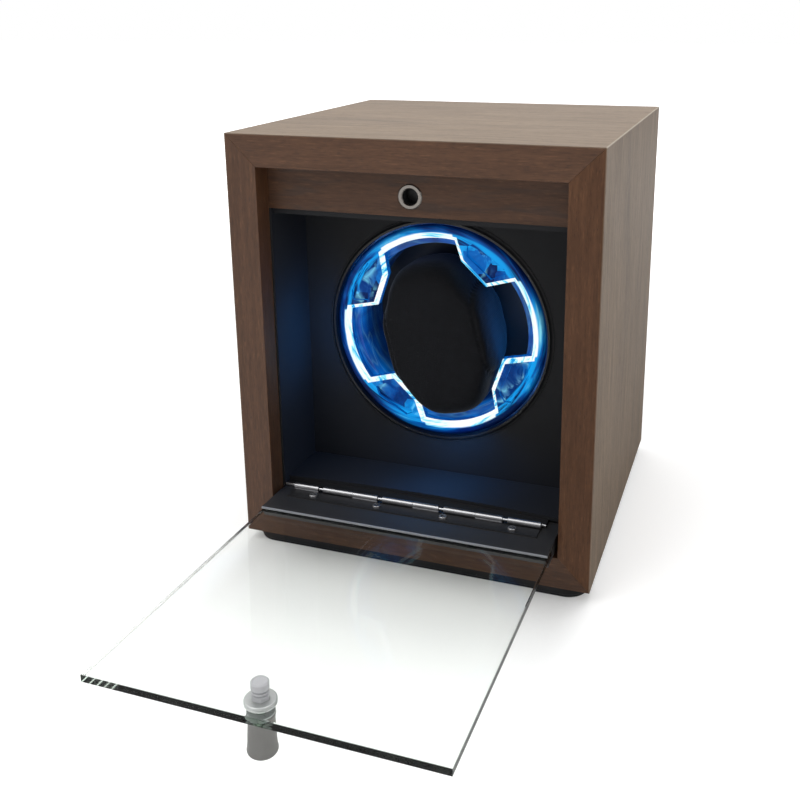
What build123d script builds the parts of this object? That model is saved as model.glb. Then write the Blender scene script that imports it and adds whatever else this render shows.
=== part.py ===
from build123d import *
import os
from math import cos, pi, radians, sin, sqrt

# Watch winder with a bottom-hinged glass door. Millimetres, +Z up, +X right as seen from the front.
# The origin is the centre of the felt pad's underside. The front face of the case is at -Y.

# Case
CASE_WIDTH = 150.0
CASE_DEPTH = 150.0
CASE_HEIGHT = 174.0
BOARD = 13.0
PAD_THICKNESS = 1.0
PLINTH_THICKNESS = 4.0
PLINTH_INSET = 2.0
PLINTH_CORNER = 9.0
PLINTH_CHAMFER = 0.3
PLINTH_SCREW_PLACE = 55.0
PLINTH_SCREW_LENGTH = 12.0
PAD_INSET = 0.4
BACK_THICKNESS = 4.0
BACK_INSET = 2.0
GAP = 0.1

# Screws: shank radii, head sizes as radius and height, and the room left in their holes
WOOD_SHANK = 1.5
SMALL_SHANK = 1.0
WOOD_HEAD = (3.0, 1.8)
BOARD_HEAD = (2.2, 1.4)
PILOT_FIT = 0.05
THROUGH_FIT = 0.2

FRONT = -CASE_DEPTH / 2
REAR = CASE_DEPTH / 2
CASE_BOTTOM = PAD_THICKNESS + PLINTH_THICKNESS
CASE_TOP = CASE_BOTTOM + CASE_HEIGHT
INNER_X = CASE_WIDTH / 2 - BOARD
INNER_BOTTOM = CASE_BOTTOM + BOARD
INNER_TOP = CASE_TOP - BOARD
MIDDLE_Z = (CASE_BOTTOM + CASE_TOP) / 2

# Chamber behind the door
CHAMBER_DEPTH = 40.0
LINING = 1.0
FASCIA_RECESS = 9.5
FASCIA_THICKNESS = 8.0
FASCIA_HEIGHT = 18.0
CEILING_THICKNESS = 2.0
CEILING_DROP = 0.4
CEILING_RECESS = 12.0
FLOOR_LINING = 1.5
FLOOR_LINING_RECESS = 14.0
FLOOR_EDGE_HOLLOW = 3.0
BEZEL_THICKNESS = 3.0
BATTEN_WIDTH = 3.6
BATTEN_DEPTH = 9.0
BATTEN_SHORT = 2.0

BEZEL_FRONT = FRONT + CHAMBER_DEPTH
BEZEL_BACK = BEZEL_FRONT + BEZEL_THICKNESS
FASCIA_BOTTOM = INNER_TOP - FASCIA_HEIGHT
FASCIA_FRONT = FRONT + FASCIA_RECESS

# Piano hinge along the bottom of the door
HINGE_Y = FRONT + 7.6
HINGE_Z = CASE_BOTTOM + 21.7
BARREL_RADIUS = 1.45
PIN_RADIUS = 0.8
HINGE_RUNNING_GAP = 0.06
LEAF = 0.55
BARREL_LEFT = -54.8
BARREL_RIGHT = 53.6
KNUCKLES = 8
KNUCKLE_PLAY = 2.3
DOOR_LEAF_WIDTH = 8.0
CASE_LEAF_WIDTH = 19.0
CASE_LEAF_LEFT = -60.5
CASE_LEAF_RIGHT = 55.0
ROOT_BEAD = 0.4
ROOT_BEAD_PLACE = 2.15
HINGE_SCREW_X = (-44.0, -15.0, 14.0, 43.0)
DOOR_SCREW_LENGTH = 4.5
CASE_SCREW_LENGTH = 6.5
CASE_SCREW_HEAD = 2.0
DOOR_SCREW_Y = FRONT + 2.5
CASE_SCREW_Y = FRONT + 24.0

# Door: an extruded strip that carries the glass. It is drawn level, and rests open a little above that.
DOOR_RISE = 1.5
STRIP_HALF_WIDTH = 60.6
STRIP_FRONT = FRONT - 12.5
SWING_RADIUS = 7.4
STRIP_RELIEF = 0.3
GLASS_THICKNESS = 3.0
GLASS_HALF_WIDTH = 60.6
GLASS_TOP = CASE_BOTTOM + 19.0
GLASS_FRONT = FRONT - 127.6
GLASS_IN_STRIP = 8.0
SLOT_GAP = 0.2

LEAF_BOTTOM = HINGE_Z - BARREL_RADIUS
LEAF_TOP = LEAF_BOTTOM + LEAF
STRIP_BOTTOM = HINGE_Z - SWING_RADIUS
GLASS_BOTTOM = GLASS_TOP - GLASS_THICKNESS
REST_PAD_TOP = STRIP_BOTTOM - 0.1

# Catch: the knob on the door pushes into the socket in the fascia when the door is shut
CATCH_X = -1.0
SOCKET_Z = CASE_BOTTOM + 150.9
KNOB_Y = HINGE_Y + HINGE_Z - SOCKET_Z
SOCKET_RADIUS = 3.15
SOCKET_RING_RADIUS = 4.95
SOCKET_RING_PROUD = 0.5
SLEEVE_RADIUS = 4.4
SLEEVE_DEPTH = 7.2
LATCH_HEAD_RADIUS = 2.8
LATCH_HEIGHT = 5.9
LATCH_NUT = 1.6
COLLAR_RADIUS = 5.0
COLLAR_HEIGHT = 1.8
COLLAR_GROOVE = 0.35
KNOB_WASHER = 0.4
WASHER_RADIUS = 4.3
HANDLE_RADIUS = 4.8
HANDLE_WAIST = 4.3
HANDLE_LENGTH = 13.1
STUD_RADIUS = 1.5

# Rotor, on the axis X = 0, Z = MIDDLE_Z, seen turned a little anticlockwise at rest
ROTOR_TILT = 14.0
TRIM_RADIUS = 50.0
TRIM_INNER = 47.6
TRIM_PROUD = 1.4
SKIRT = 0.7
RING_RADIUS = 46.9
RING_THICKNESS = 5.0
RING_RECESS = 0.8
WINDOW_RADIUS = 41.0
LOBE_SIDE = 16.3
LOBE_ELBOW = (25.0, 15.9)
LOBE_SHOULDER = (17.0, 28.4)
RING_BEVEL = 1.8
POCKET_DEPTH = 1.6
DRUM_FLANGE = 2.0
CUP_RADIUS = 40.0
CUP_WALL = 1.8
CUP_DEPTH = 26.0
CUP_FLOOR = 3.0
HUB_RADIUS = 12.0
HUB_BOSS = 6.0
HUB_FLANGE = 2.5
HUB_LENGTH = 9.0
HUB_SCREW_CIRCLE = 9.0
SHAFT_RADIUS = 2.5
RUNNING_GAP = 0.05

RING_FRONT = BEZEL_FRONT - RING_RECESS
RING_BACK = RING_FRONT + RING_THICKNESS
FLANGE_BACK = RING_BACK + DRUM_FLANGE
CUP_FLOOR_FRONT = RING_BACK + CUP_DEPTH
CUP_FLOOR_BACK = CUP_FLOOR_FRONT + CUP_FLOOR

# Cushion
CUSHION_WIDTH = 46.0
CUSHION_HEIGHT = 70.0
CUSHION_DEPTH = 40.0
CUSHION_SAG = 2.5
CUSHION_FRONT_ROUND = 11.0
CUSHION_BACK_ROUND = 17.0
CUSHION_BACK_GAP = 1.6

# Housing and drive behind the bezel panel
HOUSING_RADIUS = 51.6
HOUSING_WALL = 2.0
HOUSING_FLANGE = 2.5
HOUSING_HALF = 57.0
HOUSING_SCREW_INSET = 4.5
HOUSING_SCREW_LENGTH = 4.5
HOUSING_BACK = CUP_FLOOR_BACK + 12.0
HOUSING_FLOOR = 3.0
LED_INNER = 41.4
LED_OUTER = 49.4
LED_BOARD = 1.6
LED_COUNT = 18
LED_RING = 44.6
LED_FRONT = FLANGE_BACK + 2.6
MOTOR_RADIUS = 14.0
MOTOR_LENGTH = 19.0
MOTOR_OFFSET = 8.0
MOTOR_EAR = 17.5
MOTOR_PLATE = 1.0
SHAFT_IN_MOTOR = 8.0
BUSH_RADIUS = 4.5

# Controls on the back panel
PANEL_Z = CASE_BOTTOM + 38.0
JACK_X = 36.0
MODE_X = 0.0
ROCKER_X = -36.0
BOARD_Z = CASE_BOTTOM + 92.0
BOARD_HALF_X = 26.0
BOARD_HALF_Z = 18.0
SPACER = 6.0
BUTTON_TRAVEL = 1.5
ROCKER_SWING = 7.0
BLOCK_SIZE = 12.0
BLOCK_LENGTH = 14.0
BLOCK_SCREW_INSET = 6.0
CIRCUIT_BOARD = 1.6

BACK_FACE = REAR - BACK_INSET
BACK_INSIDE = BACK_FACE - BACK_THICKNESS


def block(x0, x1, y0, y1, z0, z1):
    """A box between two corners."""
    return Pos((x0 + x1) / 2, (y0 + y1) / 2, (z0 + z1) / 2) * Box(x1 - x0, y1 - y0, z1 - z0)


def across_y(outline, y0, y1):
    """An outline drawn in X and Z, carried from y0 back to y1."""
    return extrude(Plane.XZ.offset(-y1) * outline, amount=y1 - y0)


def across_x(outline, x0, x1):
    """An outline drawn in Y and Z, carried from x0 to x1."""
    return extrude(Plane.YZ.offset(x0) * outline, amount=x1 - x0)


def upright(outline, z0, z1):
    """An outline drawn in X and Y, carried from z0 up to z1."""
    return extrude(Plane.XY.offset(z0) * outline, amount=z1 - z0)


def disc_y(radius, x, z, y0, y1):
    """A round bar along Y."""
    return across_y(Pos(x, z) * Circle(radius), y0, y1)


def ring_y(outer, inner, x, z, y0, y1):
    """A round tube along Y."""
    return across_y(Pos(x, z) * (Circle(outer) - Circle(inner)), y0, y1)


def tilted(shape):
    """A piece drawn upright on the rotor axis, turned to the angle at which the rotor rests."""
    return Pos(0, 0, MIDDLE_Z) * Rot(Y=-ROTOR_TILT) * shape


def opened(shape):
    """A piece of the door, or a list of them, turned about the hinge from level to where it rests."""
    turn = Pos(0, HINGE_Y, HINGE_Z) * Rot(X=-DOOR_RISE) * Pos(0, -HINGE_Y, -HINGE_Z)
    return [turn * piece for piece in shape] if isinstance(shape, list) else turn * shape


def pan_screw(head_radius, head_height, shank_radius, length):
    """A pan-head screw along -Z with a cross recess. Its head stands on Z = 0."""
    head = Cylinder(head_radius, head_height, align=(Align.CENTER, Align.CENTER, Align.MIN))
    head = fillet(head.edges().group_by(Axis.Z)[-1], head_height * 0.45)
    shank = Cylinder(shank_radius, length, align=(Align.CENTER, Align.CENTER, Align.MAX))
    slot_length = head_radius * 1.1
    slot_width = head_radius * 0.28
    slot_depth = head_height * 0.6
    cross = Pos(0, 0, head_height) * (
        Box(slot_length, slot_width, slot_depth * 2) + Box(slot_width, slot_length, slot_depth * 2)
    )
    return head + shank - cross


def flat_screw(head_radius, shank_radius, length):
    """A countersunk screw along -Z with a cross recess. The top of its head is at Z = 0."""
    sink = head_radius - shank_radius
    head = Pos(0, 0, -sink / 2) * Cone(shank_radius, head_radius, sink)
    shank = Cylinder(shank_radius, length, align=(Align.CENTER, Align.CENTER, Align.MAX))
    slot = head_radius * 1.1
    cross = Box(slot, head_radius * 0.28, sink) + Box(head_radius * 0.28, slot, sink)
    return head + shank - cross


def facing_back(shape, x, y, z):
    """Turns a screw drawn along -Z so that its head faces +Y."""
    return Pos(x, y, z) * Rot(X=-90) * shape


def facing_front(shape, x, y, z):
    """Turns a screw drawn along -Z so that its head faces -Y."""
    return Pos(x, y, z) * Rot(X=90) * shape


def corners(half_x, half_z, z):
    """The four corners of a rectangle about X = 0."""
    return [(sx * half_x, z + sz * half_z) for sx in (-1, 1) for sz in (-1, 1)]


# Case boards, mitred at the four corners

def case_board(inner_a, outer_a, outer_b, inner_b):
    """One mitred board of the case, from its four corners in X and Z."""
    outline = make_face(Polyline(inner_a, outer_a, outer_b, inner_b, close=True))
    return across_y(outline, FRONT, REAR)


HALF = CASE_WIDTH / 2
OUTER = {
    "bl": (-HALF, CASE_BOTTOM),
    "br": (HALF, CASE_BOTTOM),
    "tl": (-HALF, CASE_TOP),
    "tr": (HALF, CASE_TOP),
}
INNER = {
    "bl": (-INNER_X, INNER_BOTTOM),
    "br": (INNER_X, INNER_BOTTOM),
    "tl": (-INNER_X, INNER_TOP),
    "tr": (INNER_X, INNER_TOP),
}


def mitred(a, b):
    """The board between two corners of the case."""
    return case_board(INNER[a], OUTER[a], OUTER[b], INNER[b])


# Plinth under the case

PLINTH_HALF = CASE_WIDTH / 2 - PLINTH_INSET
PLINTH_SCREWS = [(sx * PLINTH_SCREW_PLACE, sy * PLINTH_SCREW_PLACE) for sx in (-1, 1) for sy in (-1, 1)]
SCREW_SINK = 2.0


def base_pad():
    half = PLINTH_HALF - PAD_INSET
    return upright(RectangleRounded(2 * half, 2 * half, PLINTH_CORNER - PAD_INSET), 0, PAD_THICKNESS)


def base_plate():
    outline = RectangleRounded(2 * PLINTH_HALF, 2 * PLINTH_HALF, PLINTH_CORNER)
    plate = upright(outline, PAD_THICKNESS, CASE_BOTTOM)
    plate = chamfer(plate.edges().group_by(Axis.Z)[0], PLINTH_CHAMFER)
    for x, y in PLINTH_SCREWS:
        plate -= Pos(x, y, PAD_THICKNESS) * Cylinder(WOOD_HEAD[0] + THROUGH_FIT, 2 * SCREW_SINK)
        plate -= Pos(x, y, CASE_BOTTOM) * Cylinder(WOOD_SHANK + THROUGH_FIT, 2 * PLINTH_THICKNESS)
    return plate


def base_screws():
    screw = pan_screw(*WOOD_HEAD, WOOD_SHANK, PLINTH_SCREW_LENGTH)
    return [Pos(x, y, PAD_THICKNESS + SCREW_SINK) * Rot(X=180) * screw for x, y in PLINTH_SCREWS]


def bottom_panel():
    panel = mitred("bl", "br")
    depth = PAD_THICKNESS + SCREW_SINK + PLINTH_SCREW_LENGTH + THROUGH_FIT - CASE_BOTTOM
    for x, y in PLINTH_SCREWS:
        panel -= Pos(x, y, CASE_BOTTOM) * Cylinder(WOOD_SHANK + PILOT_FIT, 2 * depth)
    return panel


# Chamber linings

def side_lining(side):
    x0 = side * INNER_X
    x1 = side * (INNER_X - LINING)
    return block(min(x0, x1), max(x0, x1), FASCIA_FRONT, BEZEL_FRONT, INNER_BOTTOM, FASCIA_BOTTOM)


def ceiling_board():
    top = FASCIA_BOTTOM - CEILING_DROP
    half = INNER_X - LINING
    return block(-half, half, FRONT + CEILING_RECESS, BEZEL_FRONT, top - CEILING_THICKNESS, top)


def case_screw_seat(x):
    """The cone that a countersunk hinge screw's head fills."""
    sink = CASE_SCREW_HEAD - SMALL_SHANK
    seat = Cone(SMALL_SHANK + PILOT_FIT, CASE_SCREW_HEAD + PILOT_FIT, sink)
    return Pos(x, CASE_SCREW_Y, LEAF_TOP - sink / 2) * seat


def floor_board():
    half = INNER_X - LINING
    front = HINGE_Y + SWING_RADIUS + 0.4
    board = block(-half, half, front, BEZEL_FRONT, INNER_BOTTOM, LEAF_BOTTOM)
    for x in HINGE_SCREW_X:
        board -= case_screw_seat(x)
        board -= Pos(x, CASE_SCREW_Y, LEAF_TOP) * Cylinder(SMALL_SHANK + PILOT_FIT, 2 * CASE_SCREW_LENGTH + 1)
    return board


def floor_lining():
    """The lining card on the floor board. Its front edge is hollowed behind the hinge barrel."""
    half = INNER_X - LINING
    edge = FRONT + FLOOR_LINING_RECESS
    outline = make_face(
        ThreePointArc((-half, edge), (0, edge + FLOOR_EDGE_HOLLOW), (half, edge))
        + Polyline((half, edge), (half, BEZEL_FRONT), (-half, BEZEL_FRONT), (-half, edge))
    )
    return upright(outline, LEAF_TOP, LEAF_TOP + FLOOR_LINING)


# Fascia and catch socket

def fascia_board():
    back = FASCIA_FRONT + FASCIA_THICKNESS
    board = block(-INNER_X, INNER_X, FASCIA_FRONT, back, FASCIA_BOTTOM, INNER_TOP)
    return board - disc_y(SLEEVE_RADIUS + PILOT_FIT, CATCH_X, SOCKET_Z, FASCIA_FRONT - 1, back + 1)


def socket_ring():
    face = FASCIA_FRONT - SOCKET_RING_PROUD
    ring = ring_y(SOCKET_RING_RADIUS, SOCKET_RADIUS, CATCH_X, SOCKET_Z, face, FASCIA_FRONT)
    return chamfer(ring.edges().group_by(Axis.Y)[0], 0.35)


def socket_sleeve():
    back = FASCIA_FRONT + SLEEVE_DEPTH
    sleeve = disc_y(SLEEVE_RADIUS, CATCH_X, SOCKET_Z, FASCIA_FRONT, back)
    return sleeve - disc_y(SOCKET_RADIUS, CATCH_X, SOCKET_Z, FASCIA_FRONT - 1, back - 1)


# Bezel panel, trim and battens

HOUSING_SCREW_HALF = HOUSING_HALF - HOUSING_SCREW_INSET
HOUSING_SCREWS = corners(HOUSING_SCREW_HALF, HOUSING_SCREW_HALF, MIDDLE_Z)


def bezel_panel():
    half = INNER_X - GAP / 2
    panel = block(-half, half, BEZEL_FRONT, BEZEL_BACK, INNER_BOTTOM + GAP / 2, INNER_TOP - GAP / 2)
    panel -= disc_y(TRIM_INNER + SKIRT + PILOT_FIT, 0, MIDDLE_Z, BEZEL_FRONT - 1, BEZEL_BACK + 1)
    depth = HOUSING_SCREW_LENGTH - HOUSING_FLANGE + THROUGH_FIT
    for x, z in HOUSING_SCREWS:
        panel -= disc_y(SMALL_SHANK + PILOT_FIT, x, z, BEZEL_BACK - depth, BEZEL_BACK + 1)
    return panel


def trim_ring():
    """The dark ring round the opening: a sloping face with a skirt into the panel's hole."""
    bevel = make_face(
        Polyline(
            (TRIM_INNER, BEZEL_FRONT - TRIM_PROUD),
            (TRIM_INNER + 0.9, BEZEL_FRONT - TRIM_PROUD),
            (TRIM_RADIUS, BEZEL_FRONT - 0.4),
            (TRIM_RADIUS, BEZEL_FRONT),
            (TRIM_INNER + SKIRT, BEZEL_FRONT),
            (TRIM_INNER + SKIRT, BEZEL_BACK),
            (TRIM_INNER, BEZEL_BACK),
            close=True,
        )
    )
    return Pos(0, 0, MIDDLE_Z) * revolve(bevel, Axis.Y)


def side_battens():
    z0 = INNER_BOTTOM + BATTEN_SHORT
    z1 = INNER_TOP - BATTEN_SHORT
    y1 = BEZEL_BACK + BATTEN_DEPTH
    left = block(-INNER_X, -INNER_X + BATTEN_WIDTH, BEZEL_BACK, y1, z0, z1)
    right = block(INNER_X - BATTEN_WIDTH, INNER_X, BEZEL_BACK, y1, z0, z1)
    return [left, right]


# Housing, lamps and motor

MOTOR_Z = MIDDLE_Z - MOTOR_OFFSET
HOUSING_END = HOUSING_BACK + HOUSING_FLOOR


def drum_housing():
    """The moulded pot that the rotor turns in, with a square flange, a lamp ledge and a floor."""
    flange = across_y(
        Pos(0, MIDDLE_Z) * RectangleRounded(2 * HOUSING_HALF, 2 * HOUSING_HALF, 6),
        BEZEL_BACK,
        BEZEL_BACK + HOUSING_FLANGE,
    )
    wall = disc_y(HOUSING_RADIUS, 0, MIDDLE_Z, BEZEL_BACK, HOUSING_END)
    inner = HOUSING_RADIUS - HOUSING_WALL
    pot = flange + wall - disc_y(inner, 0, MIDDLE_Z, BEZEL_BACK - 1, HOUSING_BACK)
    ledge_front = LED_FRONT + LED_BOARD
    pot += ring_y(inner + 0.5, LED_OUTER - 2.4, 0, MIDDLE_Z, ledge_front, ledge_front + 2)
    pot -= disc_y(BUSH_RADIUS, 0, MIDDLE_Z, HOUSING_BACK - 1, HOUSING_END + 1)
    for side in (-1, 1):
        pot -= disc_y(SMALL_SHANK + PILOT_FIT, side * MOTOR_EAR, MOTOR_Z, HOUSING_BACK - 1, HOUSING_END + 1)
    for x, z in HOUSING_SCREWS:
        pot -= disc_y(SMALL_SHANK + THROUGH_FIT, x, z, BEZEL_BACK - 1, BEZEL_BACK + HOUSING_FLANGE + 1)
    return pot


def housing_screws():
    screw = pan_screw(*BOARD_HEAD, SMALL_SHANK, HOUSING_SCREW_LENGTH)
    y = BEZEL_BACK + HOUSING_FLANGE
    return [facing_back(screw, x, y, z) for x, z in HOUSING_SCREWS]


def led_board():
    return ring_y(LED_OUTER, LED_INNER, 0, MIDDLE_Z, LED_FRONT, LED_FRONT + LED_BOARD)


def led_chips():
    chip = block(-1.75, 1.75, -1.2, 0, -1.4, 1.4)
    chip = chamfer(chip.edges().group_by(Axis.Y)[0], 0.25)
    place = Pos(0, LED_FRONT, MIDDLE_Z)
    return [place * Rot(Y=360 * i / LED_COUNT) * Pos(0, 0, LED_RING) * chip for i in range(LED_COUNT)]


def shaft_bush():
    """The flanged bearing of the output shaft, pressed into the housing floor."""
    body = ring_y(BUSH_RADIUS, SHAFT_RADIUS + RUNNING_GAP, 0, MIDDLE_Z, HOUSING_BACK, HOUSING_END)
    lip = ring_y(BUSH_RADIUS + 1.5, SHAFT_RADIUS + RUNNING_GAP, 0, MIDDLE_Z, HOUSING_BACK - 1, HOUSING_BACK)
    return body + lip


def motor_plate():
    """The steel face of the geared motor, with two ears and a clearance hole for the shaft."""
    ears = SlotCenterToCenter(2 * MOTOR_EAR, 7.0)
    outline = Pos(0, MOTOR_Z) * (Circle(MOTOR_RADIUS) + ears)
    outline -= Pos(0, MIDDLE_Z) * Circle(SHAFT_RADIUS + 0.6)
    for side in (-1, 1):
        outline -= Pos(side * MOTOR_EAR, MOTOR_Z) * Circle(SMALL_SHANK + THROUGH_FIT)
    return across_y(outline, HOUSING_END, HOUSING_END + MOTOR_PLATE)


def motor_can():
    """The drawn can with the winding and the gear train sealed inside, bored for the shaft end."""
    y0 = HOUSING_END + MOTOR_PLATE
    can = disc_y(MOTOR_RADIUS, 0, MOTOR_Z, y0, y0 + MOTOR_LENGTH)
    can = fillet(can.edges().group_by(Axis.Y)[-1], 1.5)
    return can - disc_y(SHAFT_RADIUS + 0.1, 0, MIDDLE_Z, y0 - 1, y0 + SHAFT_IN_MOTOR + 1)


def motor_wire_cover():
    y0 = HOUSING_END + MOTOR_PLATE + 2
    bottom = MOTOR_Z - MOTOR_RADIUS - 3.5
    cover = block(-8.5, 8.5, y0, y0 + MOTOR_LENGTH - 4, bottom, MOTOR_Z - 8)
    cover -= disc_y(MOTOR_RADIUS + 0.02, 0, MOTOR_Z, y0 - 1, y0 + MOTOR_LENGTH)
    return fillet(cover.edges().filter_by(Axis.Y).group_by(Axis.Z)[0], 1.0)


def motor_screws():
    screw = pan_screw(*BOARD_HEAD, SMALL_SHANK, HOUSING_FLOOR + MOTOR_PLATE)
    y = HOUSING_END + MOTOR_PLATE
    return [facing_back(screw, side * MOTOR_EAR, y, MOTOR_Z) for side in (-1, 1)]


# Rotor

# The shallow recess in the face of one lobe
POCKET = ((35.4, 20.2), (28.4, 18.9), (20.4, 30.4), (21.6, 34.4), (24.4, 35.0), (35.0, 24.4))


def four_ways(outline):
    """An outline and its mirror images left, down, and both."""
    left = mirror(outline, Plane.YZ)
    return [outline, left, mirror(outline, Plane.XZ), mirror(left, Plane.XZ)]


def lobed_hole():
    """The hole of the light ring: a circle with four straight-edged lobes that reach inward."""
    edge = sqrt(WINDOW_RADIUS**2 - LOBE_SIDE**2)
    hole = Circle(WINDOW_RADIUS)
    lobe = make_face(
        Polyline(
            (edge + 4, LOBE_SIDE),
            (edge, LOBE_SIDE),
            LOBE_ELBOW,
            LOBE_SHOULDER,
            (LOBE_SIDE, edge),
            (LOBE_SIDE, edge + 4),
            (edge + 4, edge + 4),
            close=True,
        )
    )
    for piece in four_ways(lobe):
        hole -= piece
    return hole


def light_ring():
    ring = across_y(Circle(RING_RADIUS) - lobed_hole(), RING_FRONT, RING_BACK)
    front = ring.faces().sort_by(Axis.Y)[0]
    inner_edges = front.inner_wires()[0].edges()
    ring = chamfer(inner_edges, RING_BEVEL)
    rim = ring.faces().sort_by(Axis.Y)[0].outer_wire().edges()
    ring = chamfer(rim, 1.2)
    for recess in four_ways(make_face(Polyline(*POCKET, close=True))):
        ring -= across_y(recess, RING_FRONT - 1, RING_FRONT + POCKET_DEPTH)
    return tilted(ring)


def light_drum():
    """The clear flange behind the light ring and the clear wall of the cup, in one moulding."""
    flange = ring_y(RING_RADIUS - 0.3, CUP_RADIUS - CUP_WALL, 0, MIDDLE_Z, RING_BACK, FLANGE_BACK)
    wall = ring_y(CUP_RADIUS, CUP_RADIUS - CUP_WALL, 0, MIDDLE_Z, RING_BACK, CUP_FLOOR_FRONT)
    return flange + wall


HUB_ANGLES = [pi / 2 + 2 * pi * i / 3 for i in range(3)]
HUB_SCREWS = [(HUB_SCREW_CIRCLE * cos(a), HUB_SCREW_CIRCLE * sin(a)) for a in HUB_ANGLES]


def drum_back():
    """The black floor of the cup."""
    floor = disc_y(CUP_RADIUS, 0, 0, CUP_FLOOR_FRONT, CUP_FLOOR_BACK)
    floor = chamfer(floor.edges().group_by(Axis.Y)[-1], 0.8)
    for x, z in HUB_SCREWS:
        floor -= disc_y(SMALL_SHANK + THROUGH_FIT, x, z, CUP_FLOOR_FRONT - 1, CUP_FLOOR_BACK + 1)
    return tilted(floor)


def drum_hub():
    """The flanged hub on the output shaft."""
    hub = disc_y(HUB_RADIUS, 0, 0, CUP_FLOOR_BACK, CUP_FLOOR_BACK + HUB_FLANGE)
    hub += disc_y(HUB_BOSS, 0, 0, CUP_FLOOR_BACK, CUP_FLOOR_BACK + HUB_LENGTH)
    hub -= disc_y(SHAFT_RADIUS, 0, 0, CUP_FLOOR_BACK + 1, CUP_FLOOR_BACK + HUB_LENGTH + 1)
    for x, z in HUB_SCREWS:
        hub -= disc_y(SMALL_SHANK + PILOT_FIT, x, z, CUP_FLOOR_BACK - 1, CUP_FLOOR_BACK + 4)
    return tilted(hub)


def hub_screws():
    screw = pan_screw(2.2, 1.0, SMALL_SHANK, CUP_FLOOR + HUB_FLANGE - 0.2)
    return [tilted(facing_front(screw, x, CUP_FLOOR_FRONT, z)) for x, z in HUB_SCREWS]


def output_shaft():
    shaft = disc_y(SHAFT_RADIUS, 0, 0, CUP_FLOOR_BACK + 1.2, HOUSING_END + MOTOR_PLATE + SHAFT_IN_MOTOR)
    return tilted(chamfer(shaft.edges().group_by(Axis.Y)[0], 0.3))


# Cushion

CUSHION_BACK = CUP_FLOOR_FRONT - CUSHION_BACK_GAP
CUSHION_FRONT = CUSHION_BACK - CUSHION_DEPTH
# Place from the middle as a share of the width, then the shares of the full height and depth there
CUSHION_TAPER = (
    (0.174, 0.974, 1.0),
    (0.304, 0.854, 0.985),
    (0.391, 0.662, 0.955),
    (0.46, 0.52, 0.90),
    (0.5, 0.445, 0.80),
)


def cushion_section(place, tall, deep):
    """One upright slice of the cushion. Its back corners are rounder than its front ones."""
    oval = Rectangle(CUSHION_DEPTH * deep, CUSHION_HEIGHT * tall)
    oval = fillet(oval.vertices().group_by(Axis.X)[-1], CUSHION_BACK_ROUND * deep)
    oval = fillet(oval.vertices().group_by(Axis.X)[0], CUSHION_FRONT_ROUND * deep)
    middle = (CUSHION_FRONT + CUSHION_BACK) / 2
    return Plane.YZ.offset(place * CUSHION_WIDTH) * Pos(middle, -CUSHION_SAG) * oval


def cushion():
    """A stuffed roll, full in the middle and drawn in at its sewn ends. It sits a little low in its cup."""
    left = [cushion_section(-place, tall, deep) for place, tall, deep in reversed(CUSHION_TAPER)]
    right = [cushion_section(place, tall, deep) for place, tall, deep in CUSHION_TAPER]
    return tilted(loft(left + [cushion_section(0, 1, 1)] + right))


# Piano hinge

KNUCKLE_PITCH = (BARREL_RIGHT - BARREL_LEFT) / KNUCKLES


def knuckle_span(index):
    """Where a knuckle starts and ends. The door leaf's knuckles are the even ones, counted from 0."""
    start = BARREL_LEFT + index * KNUCKLE_PITCH
    end = start + KNUCKLE_PITCH
    if index % 2 == 0:
        return start + (0.05 if index else 0), end - KNUCKLE_PLAY
    return start, end - 0.05


def hinge_leaf(first, direction, leaf_left, leaf_right, width, bore):
    """One leaf: a flat sheet tangent to the underside of its own knuckles."""
    clear = BARREL_RADIUS + 0.35
    y_near = HINGE_Y + direction * clear
    y_far = HINGE_Y + direction * width
    leaf = block(leaf_left, leaf_right, min(y_near, y_far), max(y_near, y_far), LEAF_BOTTOM, LEAF_TOP)
    for index in range(first, KNUCKLES, 2):
        x0, x1 = knuckle_span(index)
        tube = across_x(Pos(HINGE_Y, HINGE_Z) * Circle(BARREL_RADIUS), x0, x1)
        tongue = block(x0, x1, min(HINGE_Y, y_near), max(HINGE_Y, y_near), LEAF_BOTTOM, LEAF_TOP)
        leaf += tube + tongue
    return leaf - across_x(Pos(HINGE_Y, HINGE_Z) * Circle(bore), BARREL_LEFT - 1, BARREL_RIGHT + 1)


def hinge_door_leaf():
    leaf = hinge_leaf(0, -1, BARREL_LEFT, BARREL_RIGHT, DOOR_LEAF_WIDTH, PIN_RADIUS + HINGE_RUNNING_GAP)
    for x in HINGE_SCREW_X:
        leaf -= Pos(x, DOOR_SCREW_Y, LEAF_TOP) * Cylinder(SMALL_SHANK + 0.1, 4)
    return leaf


def hinge_case_leaf():
    """The fixed leaf. A fine polished bead runs along it behind the barrel."""
    leaf = hinge_leaf(1, 1, CASE_LEAF_LEFT, CASE_LEAF_RIGHT, CASE_LEAF_WIDTH, PIN_RADIUS)
    bead = Pos(HINGE_Y + ROOT_BEAD_PLACE, LEAF_TOP) * Circle(ROOT_BEAD)
    starts = [CASE_LEAF_LEFT] + [knuckle_span(index)[0] for index in range(1, KNUCKLES, 2)]
    ends = [knuckle_span(index)[1] for index in range(0, KNUCKLES, 2)] + [CASE_LEAF_RIGHT]
    for x0, x1 in zip(starts, ends):
        leaf += across_x(bead, x0, x1)
    for x in HINGE_SCREW_X:
        leaf -= case_screw_seat(x)
    return leaf


def hinge_pin():
    return across_x(Pos(HINGE_Y, HINGE_Z) * Circle(PIN_RADIUS), BARREL_LEFT, BARREL_RIGHT)


def hinge_door_screws():
    screw = pan_screw(1.7, 0.9, SMALL_SHANK, DOOR_SCREW_LENGTH)
    return [Pos(x, DOOR_SCREW_Y, LEAF_TOP) * Rot(Z=20 + 25 * i) * screw for i, x in enumerate(HINGE_SCREW_X)]


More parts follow.
